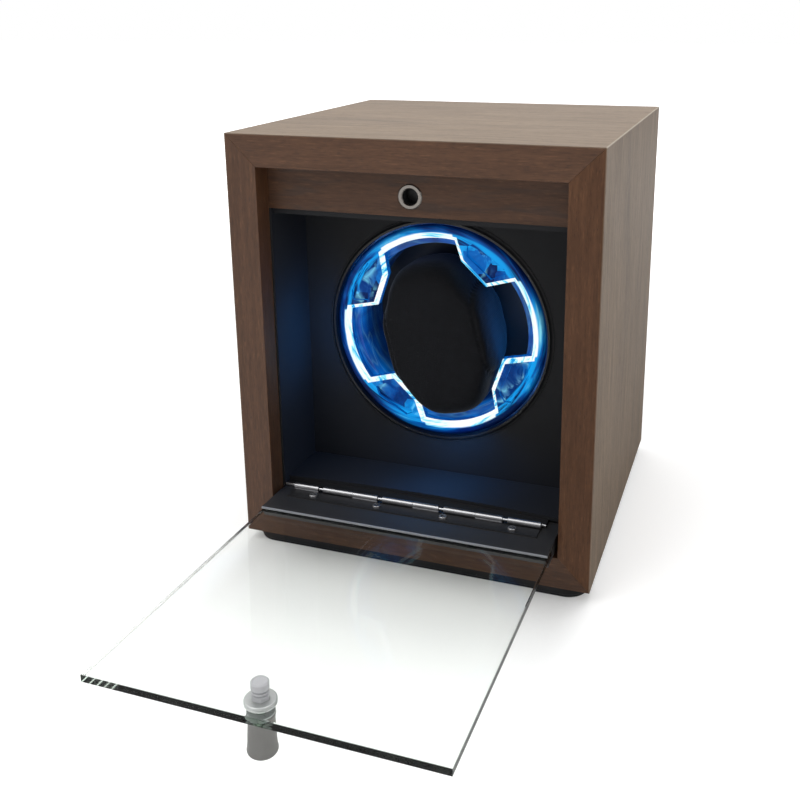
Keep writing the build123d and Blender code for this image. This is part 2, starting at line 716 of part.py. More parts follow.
def hinge_case_screws():
    screw = flat_screw(CASE_SCREW_HEAD, SMALL_SHANK, CASE_SCREW_LENGTH)
    return [Pos(x, CASE_SCREW_Y, LEAF_TOP) * Rot(Z=15 * i) * screw for i, x in enumerate(HINGE_SCREW_X)]


# Door

def door_strip():
    """The black extrusion: a slot for the glass in front, a quarter round about the hinge behind."""
    relief_z = LEAF_BOTTOM - STRIP_RELIEF
    relief_y = HINGE_Y - BARREL_RADIUS - 0.6
    drop = HINGE_Z - relief_z
    arc_end = HINGE_Y + sqrt(SWING_RADIUS**2 - drop**2)
    half_way = radians(45)
    arc_middle = (HINGE_Y + SWING_RADIUS * sin(half_way), HINGE_Z - SWING_RADIUS * cos(half_way))
    slot_top = GLASS_TOP + SLOT_GAP
    slot_back = STRIP_FRONT + GLASS_IN_STRIP + 0.5
    nose = (LEAF_BOTTOM - slot_top) / 2
    nose_top = (STRIP_FRONT + nose, LEAF_BOTTOM)
    nose_tip = (STRIP_FRONT, LEAF_BOTTOM - nose)
    nose_bottom = (STRIP_FRONT + nose, slot_top)
    outline = make_face(
        ThreePointArc((HINGE_Y, STRIP_BOTTOM), arc_middle, (arc_end, relief_z))
        + Polyline((arc_end, relief_z), (relief_y, relief_z), (relief_y, LEAF_BOTTOM), nose_top)
        + ThreePointArc(nose_top, nose_tip, nose_bottom)
        + Polyline(
            nose_bottom,
            (slot_back, slot_top),
            (slot_back, GLASS_BOTTOM),
            (STRIP_FRONT + 1.5, GLASS_BOTTOM),
            (STRIP_FRONT + 2.2, STRIP_BOTTOM),
            (HINGE_Y, STRIP_BOTTOM),
        )
    )
    strip = across_x(outline, -STRIP_HALF_WIDTH, STRIP_HALF_WIDTH)
    for x in HINGE_SCREW_X:
        strip -= Pos(x, DOOR_SCREW_Y, LEAF_BOTTOM) * Cylinder(SMALL_SHANK + PILOT_FIT, 2 * DOOR_SCREW_LENGTH)
    return strip


def glass_pane():
    back = STRIP_FRONT + GLASS_IN_STRIP
    pane = block(-GLASS_HALF_WIDTH, GLASS_HALF_WIDTH, GLASS_FRONT, back, GLASS_BOTTOM, GLASS_TOP)
    pane = chamfer(pane.edges().filter_by(Axis.Z, reverse=True), 0.25)
    return pane - Pos(CATCH_X, KNOB_Y, GLASS_TOP) * Cylinder(STUD_RADIUS + 0.6, 10)


def door_rest_pad():
    return block(-58, 58, FRONT + 1.0, HINGE_Y - 0.6, INNER_BOTTOM, REST_PAD_TOP)


# Knob and latch, drawn standing on the glass

def turned(points, z):
    """A turned piece on the knob's axis from its outline in radius and height above z."""
    outline = make_face(Polyline(*points, close=True))
    return Pos(CATCH_X, KNOB_Y, z) * revolve(Plane.XZ * outline, Axis.Z)


COLLAR_BASE = GLASS_TOP + KNOB_WASHER
LATCH_BASE = COLLAR_BASE + COLLAR_HEIGHT
HANDLE_TOP = GLASS_BOTTOM - KNOB_WASHER
STUD_BOTTOM = HANDLE_TOP - 6.0
STUD_TOP = LATCH_BASE + 4.0


def knob_washers():
    washer = Cylinder(WASHER_RADIUS, KNOB_WASHER, align=(Align.CENTER, Align.CENTER, Align.MIN))
    washer -= Cylinder(STUD_RADIUS + 0.3, 4)
    return [Pos(CATCH_X, KNOB_Y, GLASS_TOP) * washer, Pos(CATCH_X, KNOB_Y, HANDLE_TOP) * washer]


def knob_collar():
    collar = Pos(CATCH_X, KNOB_Y, COLLAR_BASE) * Cylinder(
        COLLAR_RADIUS, COLLAR_HEIGHT, align=(Align.CENTER, Align.CENTER, Align.MIN)
    )
    collar = fillet(collar.edges().filter_by(GeomType.CIRCLE), 0.4)
    groove = Pos(CATCH_X, KNOB_Y, COLLAR_BASE + COLLAR_HEIGHT / 2) * Torus(COLLAR_RADIUS + 0.1, COLLAR_GROOVE)
    collar -= groove
    return collar - Pos(CATCH_X, KNOB_Y, COLLAR_BASE) * Cylinder(STUD_RADIUS + 0.1, 8)


def latch_head():
    """The head that snaps into the socket: a hexagonal foot, a ring between two grooves, and a button."""
    neck = LATCH_HEAD_RADIUS - 0.65
    head = turned(
        (
            (STUD_RADIUS, 0),
            (LATCH_HEAD_RADIUS, 0),
            (LATCH_HEAD_RADIUS, LATCH_NUT),
            (neck, LATCH_NUT + 0.2),
            (neck, LATCH_NUT + 0.45),
            (LATCH_HEAD_RADIUS - 0.15, LATCH_NUT + 0.65),
            (LATCH_HEAD_RADIUS - 0.15, LATCH_NUT + 1.15),
            (neck, LATCH_NUT + 1.35),
            (neck, LATCH_NUT + 1.6),
            (LATCH_HEAD_RADIUS, LATCH_NUT + 1.9),
            (LATCH_HEAD_RADIUS, LATCH_HEIGHT - 0.4),
            (LATCH_HEAD_RADIUS - 0.4, LATCH_HEIGHT),
            (LATCH_HEAD_RADIUS - 0.7, LATCH_HEIGHT),
            (LATCH_HEAD_RADIUS - 0.9, LATCH_HEIGHT - 0.2),
            (0, LATCH_HEIGHT - 0.2),
            (0, STUD_TOP - LATCH_BASE + 0.1),
            (STUD_RADIUS, STUD_TOP - LATCH_BASE + 0.1),
        ),
        LATCH_BASE,
    )
    hexagon = Pos(CATCH_X, KNOB_Y, LATCH_BASE) * RegularPolygon(LATCH_HEAD_RADIUS, 6)
    foot_blank = Pos(CATCH_X, KNOB_Y, LATCH_BASE) * Circle(2 * LATCH_HEAD_RADIUS)
    return head - extrude(foot_blank - hexagon, LATCH_NUT)


def knob_handle():
    """The waisted finger grip on the outer face of the glass."""
    low = -HANDLE_LENGTH
    hole = STUD_BOTTOM - HANDLE_TOP - 0.1
    shoulder = (HANDLE_RADIUS - 0.4, -0.5)
    waist = (HANDLE_WAIST, low * 0.42)
    belly = (HANDLE_RADIUS, low + 1.6)
    nose = (HANDLE_RADIUS - 1.7, low)
    side = Spline(shoulder, waist, belly, tangents=((-0.3, -1), (0.2, -1)))
    end = ThreePointArc(belly, (HANDLE_RADIUS - 0.5, low + 0.4), nose)
    inside = Polyline(
        nose,
        (0, low),
        (0, hole),
        (STUD_RADIUS, hole),
        (STUD_RADIUS, 0),
        (HANDLE_RADIUS - 0.9, 0),
        shoulder,
    )
    outline = make_face(side + end + inside)
    return Pos(CATCH_X, KNOB_Y, HANDLE_TOP) * revolve(Plane.XZ * outline, Axis.Z)


def knob_stud():
    return Pos(CATCH_X, KNOB_Y, STUD_BOTTOM) * Cylinder(
        STUD_RADIUS, STUD_TOP - STUD_BOTTOM, align=(Align.CENTER, Align.CENTER, Align.MIN)
    )


# Back panel and controls

BACK_SCREWS = corners(
    INNER_X - BLOCK_SCREW_INSET, (INNER_TOP - INNER_BOTTOM) / 2 - BLOCK_SCREW_INSET, MIDDLE_Z
)
BLOCK_SCREW_DEPTH = 12.0
JACK_RADIUS = 3.9
MODE_RADIUS = 5.9
ROCKER_HOLE = (13.0, 8.6)


def back_panel():
    half = INNER_X - GAP
    panel = block(-half, half, BACK_INSIDE, BACK_FACE, INNER_BOTTOM + GAP, INNER_TOP - GAP)
    for x, z in BACK_SCREWS:
        panel -= disc_y(WOOD_SHANK + THROUGH_FIT, x, z, BACK_INSIDE - 1, BACK_FACE + 1)
    panel -= disc_y(JACK_RADIUS + 0.1, JACK_X, PANEL_Z, BACK_INSIDE - 1, BACK_FACE + 1)
    panel -= disc_y(MODE_RADIUS + 0.1, MODE_X, PANEL_Z, BACK_INSIDE - 1, BACK_FACE + 1)
    width, height = ROCKER_HOLE
    return panel - across_y(
        Pos(ROCKER_X, PANEL_Z) * Rectangle(width + 0.2, height + 0.2), BACK_INSIDE - 1, BACK_FACE + 1
    )


def back_blocks():
    """Glued corner blocks that the back panel screws into."""
    half = BLOCK_SIZE / 2
    depth = BLOCK_SCREW_DEPTH + THROUGH_FIT
    blocks = []
    for x, z in BACK_SCREWS:
        piece = block(x - half, x + half, BACK_INSIDE - BLOCK_LENGTH, BACK_INSIDE, z - half, z + half)
        blocks.append(piece - disc_y(WOOD_SHANK + PILOT_FIT, x, z, BACK_INSIDE - depth, BACK_INSIDE + 1))
    return blocks


def back_screws():
    screw = pan_screw(*WOOD_HEAD, WOOD_SHANK, BACK_THICKNESS + BLOCK_SCREW_DEPTH)
    return [facing_back(screw, x, BACK_FACE, z) for x, z in BACK_SCREWS]


def dc_jack():
    """The power inlet: a threaded barrel through the panel with a shoulder inside and a centre pin."""
    barrel = disc_y(JACK_RADIUS, JACK_X, PANEL_Z, BACK_INSIDE - 12, BACK_FACE + 3.4)
    shoulder = disc_y(JACK_RADIUS + 1.6, JACK_X, PANEL_Z, BACK_INSIDE - 12, BACK_INSIDE)
    jack = barrel + shoulder - disc_y(2.85, JACK_X, PANEL_Z, BACK_FACE - 6, BACK_FACE + 5)
    return jack + disc_y(1.0, JACK_X, PANEL_Z, BACK_FACE - 7, BACK_FACE + 2.4)


def jack_nut():
    nut = across_y(Pos(JACK_X, PANEL_Z) * RegularPolygon(6.0, 6), BACK_FACE, BACK_FACE + 2)
    return nut - disc_y(JACK_RADIUS + 0.05, JACK_X, PANEL_Z, BACK_FACE - 1, BACK_FACE + 3)


def mode_switch_body():
    flange = disc_y(MODE_RADIUS + 1.2, MODE_X, PANEL_Z, BACK_FACE, BACK_FACE + 1.6)
    flange = chamfer(flange.edges().group_by(Axis.Y)[-1], 0.5)
    body = flange + disc_y(MODE_RADIUS, MODE_X, PANEL_Z, BACK_INSIDE - 10, BACK_FACE)
    return body - disc_y(4.5, MODE_X, PANEL_Z, BACK_FACE - 3.5, BACK_FACE + 3)


def mode_button():
    button = disc_y(4.35, MODE_X, PANEL_Z, BACK_FACE - 3.5 + BUTTON_TRAVEL + 0.2, BACK_FACE + 3.6)
    return fillet(button.edges().group_by(Axis.Y)[-1], 0.8)


ROCKER_HALF = 5.2
ROCKER_PROUD = 2.4
ROCKER_FOOT = 3.0
ROCKER_DEEP = 3.2
ROCKER_PIVOT = 1.0
PIVOT_REACH = 3.9


def light_switch_body():
    width, height = ROCKER_HOLE
    place = Pos(ROCKER_X, PANEL_Z)
    frame = across_y(place * RectangleRounded(width + 2.4, height + 2.4, 1), BACK_FACE, BACK_FACE + 1.4)
    frame = chamfer(frame.edges().group_by(Axis.Y)[-1], 0.4)
    body = frame + across_y(place * Rectangle(width, height), BACK_INSIDE - 8, BACK_FACE)
    hollow = place * Rectangle(2 * ROCKER_HALF + 0.8, height - 1.6)
    body -= across_y(hollow, BACK_FACE - 4.8, BACK_FACE + 3)
    pivot = Cylinder(ROCKER_PIVOT + RUNNING_GAP, 2 * PIVOT_REACH + 0.2)
    return body - Pos(ROCKER_X, BACK_FACE, PANEL_Z) * pivot


def light_rocker():
    """The rocker, tipped to one side. It turns on two short pivots in the switch body."""
    height = ROCKER_HOLE[1] - 2.2
    outline = make_face(
        Polyline(
            (-ROCKER_HALF, ROCKER_PROUD),
            (0, ROCKER_PROUD - 0.8),
            (ROCKER_HALF, ROCKER_PROUD),
            (ROCKER_FOOT, -ROCKER_DEEP),
            (-ROCKER_FOOT, -ROCKER_DEEP),
            close=True,
        )
    )
    rocker = upright(outline, -height / 2, height / 2) + Cylinder(ROCKER_PIVOT, 2 * PIVOT_REACH)
    return Pos(ROCKER_X, BACK_FACE, PANEL_Z) * Rot(Z=ROCKER_SWING) * rocker


BOARD_FACE = BACK_INSIDE - SPACER
BOARD_SCREWS = corners(BOARD_HALF_X - 3.0, BOARD_HALF_Z - 3.0, BOARD_Z)


def control_board():
    z0 = BOARD_Z - BOARD_HALF_Z
    z1 = BOARD_Z + BOARD_HALF_Z
    board = block(-BOARD_HALF_X, BOARD_HALF_X, BOARD_FACE - CIRCUIT_BOARD, BOARD_FACE, z0, z1)
    for x, z in BOARD_SCREWS:
        board -= disc_y(SMALL_SHANK + THROUGH_FIT, x, z, BOARD_FACE - 3, BOARD_FACE + 1)
    return board


def board_parts():
    """The driver chip, the timer chip, a capacitor and two wire sockets on the control board."""
    face = BOARD_FACE - CIRCUIT_BOARD
    driver = block(-14, -4, face - 2.2, face, BOARD_Z - 3, BOARD_Z + 3)
    timer = block(3, 11, face - 1.6, face, BOARD_Z - 4, BOARD_Z + 1)
    capacitor = disc_y(3.0, 17, BOARD_Z + 6, face - 8, face)
    motor_socket = block(-12, -2, face - 5, face, BOARD_Z + 9, BOARD_Z + 14)
    lamp_socket = block(2, 8, face - 5, face, BOARD_Z + 9, BOARD_Z + 14)
    return [driver, timer, capacitor, motor_socket, lamp_socket]


def board_spacers():
    return [ring_y(2.4, SMALL_SHANK + THROUGH_FIT, x, z, BOARD_FACE, BACK_INSIDE) for x, z in BOARD_SCREWS]


def board_screws():
    screw = pan_screw(*BOARD_HEAD, SMALL_SHANK, SPACER + CIRCUIT_BOARD)
    return [facing_front(screw, x, BOARD_FACE - CIRCUIT_BOARD, z) for x, z in BOARD_SCREWS]


NODES = {
    "top_panel": mitred("tl", "tr"),
    "bottom_panel": bottom_panel(),
    "left_panel": mitred("bl", "tl"),
    "right_panel": mitred("br", "tr"),
    "base_plate": base_plate(),
    "base_pad": base_pad(),
    "base_screws": base_screws(),
    "fascia_board": fascia_board(),
    "socket_ring": socket_ring(),
    "socket_sleeve": socket_sleeve(),
    "left_lining": side_lining(-1),
    "right_lining": side_lining(1),
    "ceiling_board": ceiling_board(),
    "floor_board": floor_board(),
    "floor_lining": floor_lining(),
    "bezel_panel": bezel_panel(),
    "side_battens": side_battens(),
    "trim_ring": trim_ring(),
    "drum_housing": drum_housing(),
    "housing_screws": housing_screws(),
    "led_board": led_board(),
    "led_chips": led_chips(),
    "shaft_bush": shaft_bush(),
    "motor_plate": motor_plate(),
    "motor_can": motor_can(),
    "motor_wire_cover": motor_wire_cover(),
    "motor_screws": motor_screws(),
    "light_ring": light_ring(),
    "light_drum": light_drum(),
    "drum_back": drum_back(),
    "drum_hub": drum_hub(),
    "hub_screws": hub_screws(),
    "output_shaft": output_shaft(),
    "cushion": cushion(),
    "hinge_case_leaf": hinge_case_leaf(),
    "hinge_door_leaf": opened(hinge_door_leaf()),
    "hinge_pin": hinge_pin(),
    "hinge_door_screws": opened(hinge_door_screws()),
    "hinge_case_screws": hinge_case_screws(),
    "door_strip": opened(door_strip()),
    "glass_pane": opened(glass_pane()),
    "door_rest_pad": door_rest_pad(),
    "knob_washers": opened(knob_washers()),
    "knob_collar": opened(knob_collar()),
    "latch_head": opened(latch_head()),
    "knob_handle": opened(knob_handle()),
    "knob_stud": opened(knob_stud()),
    "back_panel": back_panel(),
    "back_blocks": back_blocks(),
    "back_screws": back_screws(),
    "dc_jack": dc_jack(),
    "jack_nut": jack_nut(),
    "mode_switch_body": mode_switch_body(),
    "mode_button": mode_button(),
    "light_switch_body": light_switch_body(),
    "light_rocker": light_rocker(),
    "control_board": control_board(),
    "board_parts": board_parts(),
    "board_spacers": board_spacers(),
    "board_screws": board_screws(),
}

os.makedirs("parts", exist_ok=True)
for name, shape in NODES.items():
    export_step(Compound(children=shape) if isinstance(shape, list) else shape, f"parts/{name}.step")
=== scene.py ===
import math

import bmesh
import bpy
from mathutils import Matrix, Vector


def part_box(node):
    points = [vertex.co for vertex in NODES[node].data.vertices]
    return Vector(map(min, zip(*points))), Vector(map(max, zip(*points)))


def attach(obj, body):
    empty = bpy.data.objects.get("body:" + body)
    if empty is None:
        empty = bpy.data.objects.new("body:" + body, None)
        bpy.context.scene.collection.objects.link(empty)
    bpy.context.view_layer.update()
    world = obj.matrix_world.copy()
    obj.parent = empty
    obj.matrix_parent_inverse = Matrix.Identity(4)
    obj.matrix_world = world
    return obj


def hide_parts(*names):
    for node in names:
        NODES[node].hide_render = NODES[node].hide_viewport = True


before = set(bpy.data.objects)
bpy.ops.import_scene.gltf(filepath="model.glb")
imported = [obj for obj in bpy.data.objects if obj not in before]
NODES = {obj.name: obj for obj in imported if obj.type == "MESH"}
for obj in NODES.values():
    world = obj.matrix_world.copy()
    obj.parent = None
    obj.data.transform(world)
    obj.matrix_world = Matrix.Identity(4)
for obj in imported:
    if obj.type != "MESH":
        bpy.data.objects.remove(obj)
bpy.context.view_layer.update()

# Places taken from the CAD, in metres
CASE_HALF = 0.075
CASE_TOP = 0.179
ROTOR_CENTRE = Vector((0.0, 0.0, 0.092))
ROTOR_TILT = math.radians(14.0)
HINGE_Y = -0.0674
STRIP_NOSE_Y = -0.0869
ACROSS_ROTOR = (1, 0, 1)
CUP_MIDDLE_Y = -0.0264
RING_INNER = 0.041
RING_OUTER = 0.0469

bpy.context.scene.view_settings.view_transform = "Standard"


# Camera, from the corners of the case in the photograph

CAMERA_PLACE = (0.129066, -0.412218, 0.225274)
CAMERA_AZIMUTH = 19.3863
CAMERA_ELEVATION = 15.4515
CAMERA_ROLL = -0.4220
FOCAL_PIXELS = 981.943
CENTRE_PIXELS = (430.55, 279.914)
PHOTO_SIZE = 800
SENSOR = 36.0
NEAREST = 0.01


def link(name, data):
    """A new object in the scene."""
    thing = bpy.data.objects.new(name, data)
    bpy.context.scene.collection.objects.link(thing)
    return thing


def make_camera():
    """The photograph's camera. Its roll turns the picture about the line of sight."""
    az = math.radians(CAMERA_AZIMUTH)
    el = math.radians(CAMERA_ELEVATION)
    roll = math.radians(CAMERA_ROLL)
    forward = Vector((-math.sin(az) * math.cos(el), math.cos(az) * math.cos(el), -math.sin(el)))
    level = Vector((math.cos(az), math.sin(az), 0))
    up = level.cross(forward)
    right = level * math.cos(roll) + up * math.sin(roll)
    top = up * math.cos(roll) - level * math.sin(roll)
    data = bpy.data.cameras.new("camera")
    data.sensor_width = SENSOR
    data.lens = FOCAL_PIXELS / PHOTO_SIZE * SENSOR
    data.shift_x = (PHOTO_SIZE / 2 - CENTRE_PIXELS[0]) / PHOTO_SIZE
    data.shift_y = (CENTRE_PIXELS[1] - PHOTO_SIZE / 2) / PHOTO_SIZE
    data.clip_start = NEAREST
    camera = link("camera", data)
    turn = Matrix((right, top, -forward)).transposed()
    camera.matrix_world = Matrix.Translation(CAMERA_PLACE) @ turn.to_4x4()
    bpy.context.scene.camera = camera


# Node trees

SOCKETS = {"ior": "IOR", "specular": "Specular IOR Level", "transmission": "Transmission Weight",
           "sheen": "Sheen Weight"}


def with_alpha(value):
    """A colour of three numbers gets its alpha. Anything else stays as it is."""
    return (*value, 1.0) if isinstance(value, tuple) and len(value) == 3 else value


def times(colour, factor):
    return tuple(part * factor for part in colour)


class Nodes:
    """A short way to write a node tree: each call adds a node and returns it."""

    def __init__(self, name="", world=None):
        self.material = world or bpy.data.materials.new(name)
        self.material.use_nodes = True
        self.tree = self.material.node_tree
        self.tree.nodes.clear()

    def seen_rays(self):
        """1 for what the camera sees, straight, in a mirror or through glass."""
        path = self.add("ShaderNodeLightPath")
        seen = self.math("MAXIMUM", path.outputs["Is Camera Ray"], path.outputs["Is Glossy Ray"])
        return self.math("MAXIMUM", seen, path.outputs["Is Transmission Ray"])

    def add(self, kind, inputs=None, **settings):
        node = self.tree.nodes.new(kind)
        for key, value in settings.items():
            setattr(node, key, value)
        for key, value in (inputs or {}).items():
            self.put(node.inputs[key], value)
        return node

    def put(self, socket, value):
        if isinstance(value, bpy.types.Node):
            value = value.outputs[0]
        if isinstance(value, bpy.types.NodeSocket):
            self.tree.links.new(value, socket)
        else:
            socket.default_value = value

    def math(self, operation, a, b=0.0, clamp=False):
        node = self.add("ShaderNodeMath", operation=operation, use_clamp=clamp)
        self.put(node.inputs[0], a)
        self.put(node.inputs[1], b)
        return node.outputs[0]

    def ramp(self, value, stops, smooth=True):
        node = self.add("ShaderNodeValToRGB", {"Fac": value})
        node.color_ramp.interpolation = "EASE" if smooth else "LINEAR"
        elements = node.color_ramp.elements
        while len(elements) < len(stops):
            elements.new(0.5)
        for element, (place, colour) in zip(elements, stops):
            element.position = place
            element.color = with_alpha(colour)
        return node.outputs["Color"]

    def step(self, value, low, high):
        """0 below low and 1 above high, smooth between. It turns round where low is the larger."""
        node = self.add("ShaderNodeMapRange", {"Value": value}, interpolation_type="SMOOTHSTEP")
        a, b, c, d = (low, high, 0.0, 1.0) if low < high else (high, low, 1.0, 0.0)
        node.inputs["From Min"].default_value = a
        node.inputs["From Max"].default_value = b
        node.inputs["To Min"].default_value = c
        node.inputs["To Max"].default_value = d
        return node.outputs["Result"]

    def span(self, value, low, high):
        """A value from 0 to 1 moved to run from low to high."""
        node = self.add("ShaderNodeMapRange", {"Value": value})
        node.inputs["To Min"].default_value = low
        node.inputs["To Max"].default_value = high
        return node.outputs["Result"]

    def mix(self, share, a, b, blend="MIX"):
        node = self.add("ShaderNodeMix", data_type="RGBA", blend_type=blend)
        self.put(node.inputs["Factor"], share)
        self.put(node.inputs["A"], with_alpha(a))
        self.put(node.inputs["B"], with_alpha(b))
        return node.outputs["Result"]

    def coordinates(self, kind="Object"):
        return self.add("ShaderNodeTexCoord").outputs[kind]

    def split(self, vector):
        """A vector's outputs X, Y and Z."""
        return self.add("ShaderNodeSeparateXYZ", {0: vector}).outputs

    def vector(self, operation, a, b=(0, 0, 0), output="Vector"):
        return self.add("ShaderNodeVectorMath", {0: a, 1: b}, operation=operation).outputs[output]

    def length(self, vector):
        return self.vector("LENGTH", vector, output="Value")

    def facing(self, axis):
        """How squarely a face looks along an axis, either way, from 0 to 1."""
        return self.math("ABSOLUTE", self.split(self.coordinates("Normal"))[axis])

    def product(self, first, *others):
        for other in others:
            first = self.math("MULTIPLY", first, other)
        return first

    def rest(self, value):
        """What is left of 1."""
        return self.math("SUBTRACT", 1.0, value)

    def place(self, scale=(1, 1, 1), turn=(0, 0, 0), move=(0, 0, 0)):
        mapping = self.add("ShaderNodeMapping", {"Vector": self.coordinates()})
        mapping.inputs["Scale"].default_value = scale
        mapping.inputs["Rotation"].default_value = turn
        mapping.inputs["Location"].default_value = move
        return mapping.outputs["Vector"]

    def scaled(self, vector, scale):
        return self.vector("MULTIPLY", vector, scale)

    def noise(self, vector, scale, detail=3.0, roughness=0.5, distortion=0.0):
        node = self.add("ShaderNodeTexNoise", {"Vector": vector, "Scale": scale, "Detail": detail,
                                               "Roughness": roughness, "Distortion": distortion})
        return node.outputs["Fac"]

    def bump(self, height, distance, strength):
        node = self.add("ShaderNodeBump", {"Height": height, "Distance": distance, "Strength": strength})
        return node.outputs["Normal"]

    def surface(self, **inputs):
        """The Principled shader and the output. Sockets are named in lower case with _ for a space."""
        shader = self.add("ShaderNodeBsdfPrincipled")
        for key, value in inputs.items():
            name = SOCKETS.get(key, key.replace("_", " ").title())
            self.put(shader.inputs[name], with_alpha(value))
        self.finish(shader)
        return self.material

    def finish(self, shader):
        output = self.add("ShaderNodeOutputMaterial")
        self.put(output.inputs["Surface"], shader)


WELD_WITHIN = 0.00001
SOFT_SEGMENTS = 2
SOFT_ANGLE = 30.0


def dress(material, *names):
    """Gives CAD nodes their material."""
    for name in names:
        data = NODES[name].data
        data.materials.clear()
        data.materials.append(material)


def soften(name, width):
    """Small rounded edges on a CAD node, by a modifier."""
    node = NODES[name]
    weld = node.modifiers.new("weld", "WELD")
    weld.merge_threshold = WELD_WITHIN
    bevel = node.modifiers.new("edges", "BEVEL")
    bevel.width = width
    bevel.segments = SOFT_SEGMENTS
    bevel.limit_method = "ANGLE"
    bevel.angle_limit = math.radians(SOFT_ANGLE)
    bevel.harden_normals = False


# Wood

WALNUT = (0.083, 0.0355, 0.0155)
# The outer faces' colour, lighter and yellower than the front's: a painted sheen
WALNUT_OUTER_SHEEN = (0.150, 0.0985, 0.0560)
WALNUT_PORE = (0.026, 0.015, 0.011)
WALNUT_FLAME = (0.030, 0.021, 0.018)
# The colour of the painted highlight along the outer edges
WALNUT_EDGE_HIGHLIGHT = (0.50, 0.43, 0.34)
WALNUT_SHINE = 0.36
# Each layer of the figure: the length and width of its blots in metres, its detail and its distortion
BROAD = (0.110, 0.016, 4.0, 0.5)
FLAME = (0.060, 0.009, 2.0, 1.4)
STREAK = (0.030, 0.0016, 3.0, 0.0)
FLECK = (0.0046, 0.00052, 2.0, 0.0)
PORE = (0.0030, 0.00034, 1.0, 0.0)
FIGURE_ROUGHNESS = 0.55
FLAME_SHOWS = (0.52, 0.36)
PORE_SHOWS = (0.36, 0.27)
PORE_SHARE = 0.55
PORE_DEPTH = 0.00005
GLOSS_CHANGE = 0.06
FRONT_FACING = (0.55, 0.8)
# The width of the painted highlight along the outer edges, the share of it next to the edge where the
# highlight is full, and how strong it is on the two front kinds of edge
EDGE_HIGHLIGHT_WIDTH = 0.00055
EDGE_HIGHLIGHT_CORE = 0.4
FRONT_TOP_HIGHLIGHT = 0.35
FRONT_SIDE_HIGHLIGHT = 0.30
EDGE_HIGHLIGHT_PATCHES = (0.35, 1.0)
# How far out and how high the faces inside the case reach: where the tone starts to change, where it ends
INNER_ASIDE = (0.070, 0.066)
INNER_HIGH = (0.174, 0.170)
GRAIN_TURN = {"X": (0, 0, 0), "Z": (0, math.radians(90), 0)}
# The tone of each layer of the figure from its darkest to its lightest
BROAD_TONES = [(0.28, (0.80, 0.79, 0.78)), (0.50, (1.0, 1.0, 1.0)), (0.72, (1.15, 1.17, 1.18))]
STREAK_TONES = [(0.32, (0.86, 0.85, 0.84)), (0.68, (1.12, 1.13, 1.14))]
FLECK_TONES = [(0.30, (0.74, 0.72, 0.71)), (0.47, (1.0, 1.0, 1.0)), (0.56, (1.0, 1.0, 1.0)),
               (0.72, (1.38, 1.42, 1.46))]
BARE_TONES = [(0.3, (0.36, 0.22, 0.11)), (0.7, (0.56, 0.38, 0.21))]


def walnut(name, along, seed, tone, outer_sheen_tone, gloss=0.46, figure=0.0, shine=WALNUT_SHINE):
    """Walnut veneer: a soft broad figure, short light and dark flecks along the grain, and fine open pores.
    along is the axis of the grain, X or Z. The outer faces get a lighter, yellower copy of the veneer, a
    painted sheen for the warm light they catch at a slant, while the boards' front edges and inner faces keep
    the darker, redder tone. The outer edges get a painted highlight. figure adds the slanted flame of a
    crown-cut sheet."""
    n = Nodes(name)
    flow = n.place(turn=GRAIN_TURN[along], move=(seed, seed * 0.37, seed * 0.61))

    def stretched(length, width, detail, distortion):
        """Noise whose blots are so long along the grain and so wide across it."""
        scale = (1 / length, 1 / width, 1 / width)
        return n.noise(n.scaled(flow, scale), 1.0, detail, FIGURE_ROUGHNESS, distortion)

    streak = stretched(*STREAK)
    fleck = stretched(*FLECK)
    place = n.split(n.coordinates())
    aside = n.math("ABSOLUTE", place["X"])
    inner = n.product(n.step(aside, *INNER_ASIDE), n.step(place["Z"], *INNER_HIGH))
    # Painted sheen: outer faces get the lighter, yellower copy; front edges and inner faces keep the darker
    # tone
    front_or_inner = n.math("MAXIMUM", n.step(n.facing("Y"), *FRONT_FACING), inner)
    base = n.mix(front_or_inner, times(WALNUT_OUTER_SHEEN, outer_sheen_tone), times(WALNUT, tone))
    for layer, tones in ((stretched(*BROAD), BROAD_TONES), (streak, STREAK_TONES), (fleck, FLECK_TONES)):
        base = n.mix(1.0, base, n.ramp(layer, tones), "MULTIPLY")
    if figure:
        flame = n.step(stretched(*FLAME), *FLAME_SHOWS)
        base = n.mix(n.product(flame, figure), base, WALNUT_FLAME)
    pores = n.step(stretched(*PORE), *PORE_SHOWS)
    base = n.mix(n.product(pores, PORE_SHARE), base, WALNUT_PORE)

    def near_edge(value, edge):
        """1 within the painted highlight's width of an edge plane, on its inner side."""
        way = 1 if edge > 0 else -1
        return n.step(value, edge - way * EDGE_HIGHLIGHT_WIDTH, edge - way * EDGE_HIGHLIGHT_WIDTH * EDGE_HIGHLIGHT_CORE)

    side = near_edge(aside, CASE_HALF)
    top = near_edge(place["Z"], CASE_TOP)
    fore = near_edge(place["Y"], -CASE_HALF)
    # Painted highlight along the outer edges of the case, broken into patches
    edge_highlight = n.math("MAXIMUM", n.product(side, top), n.product(fore, top, FRONT_TOP_HIGHLIGHT))
    edge_highlight = n.math("MAXIMUM", edge_highlight, n.product(fore, side, FRONT_SIDE_HIGHLIGHT))
    base = n.mix(n.product(edge_highlight, n.span(streak, *EDGE_HIGHLIGHT_PATCHES)), base, WALNUT_EDGE_HIGHLIGHT)
    height = n.math("SUBTRACT", n.product(fleck, 0.5), pores)
    rough = n.span(streak, gloss + GLOSS_CHANGE, gloss - GLOSS_CHANGE)
    return n.surface(base_color=base, roughness=rough, specular=shine,
                     normal=n.bump(height, PORE_DEPTH, 0.55))


def bare_wood(name):
    """Unfinished softwood with its grain upright."""
    n = Nodes(name)
    grain = n.noise(n.place(scale=(500.0, 500.0, 30.0)), 1.0, 3.0)
    return n.surface(base_color=n.ramp(grain, BARE_TONES), roughness=0.7, normal=n.bump(grain, 0.00008, 0.5))


# Black linings, plastic and cloth

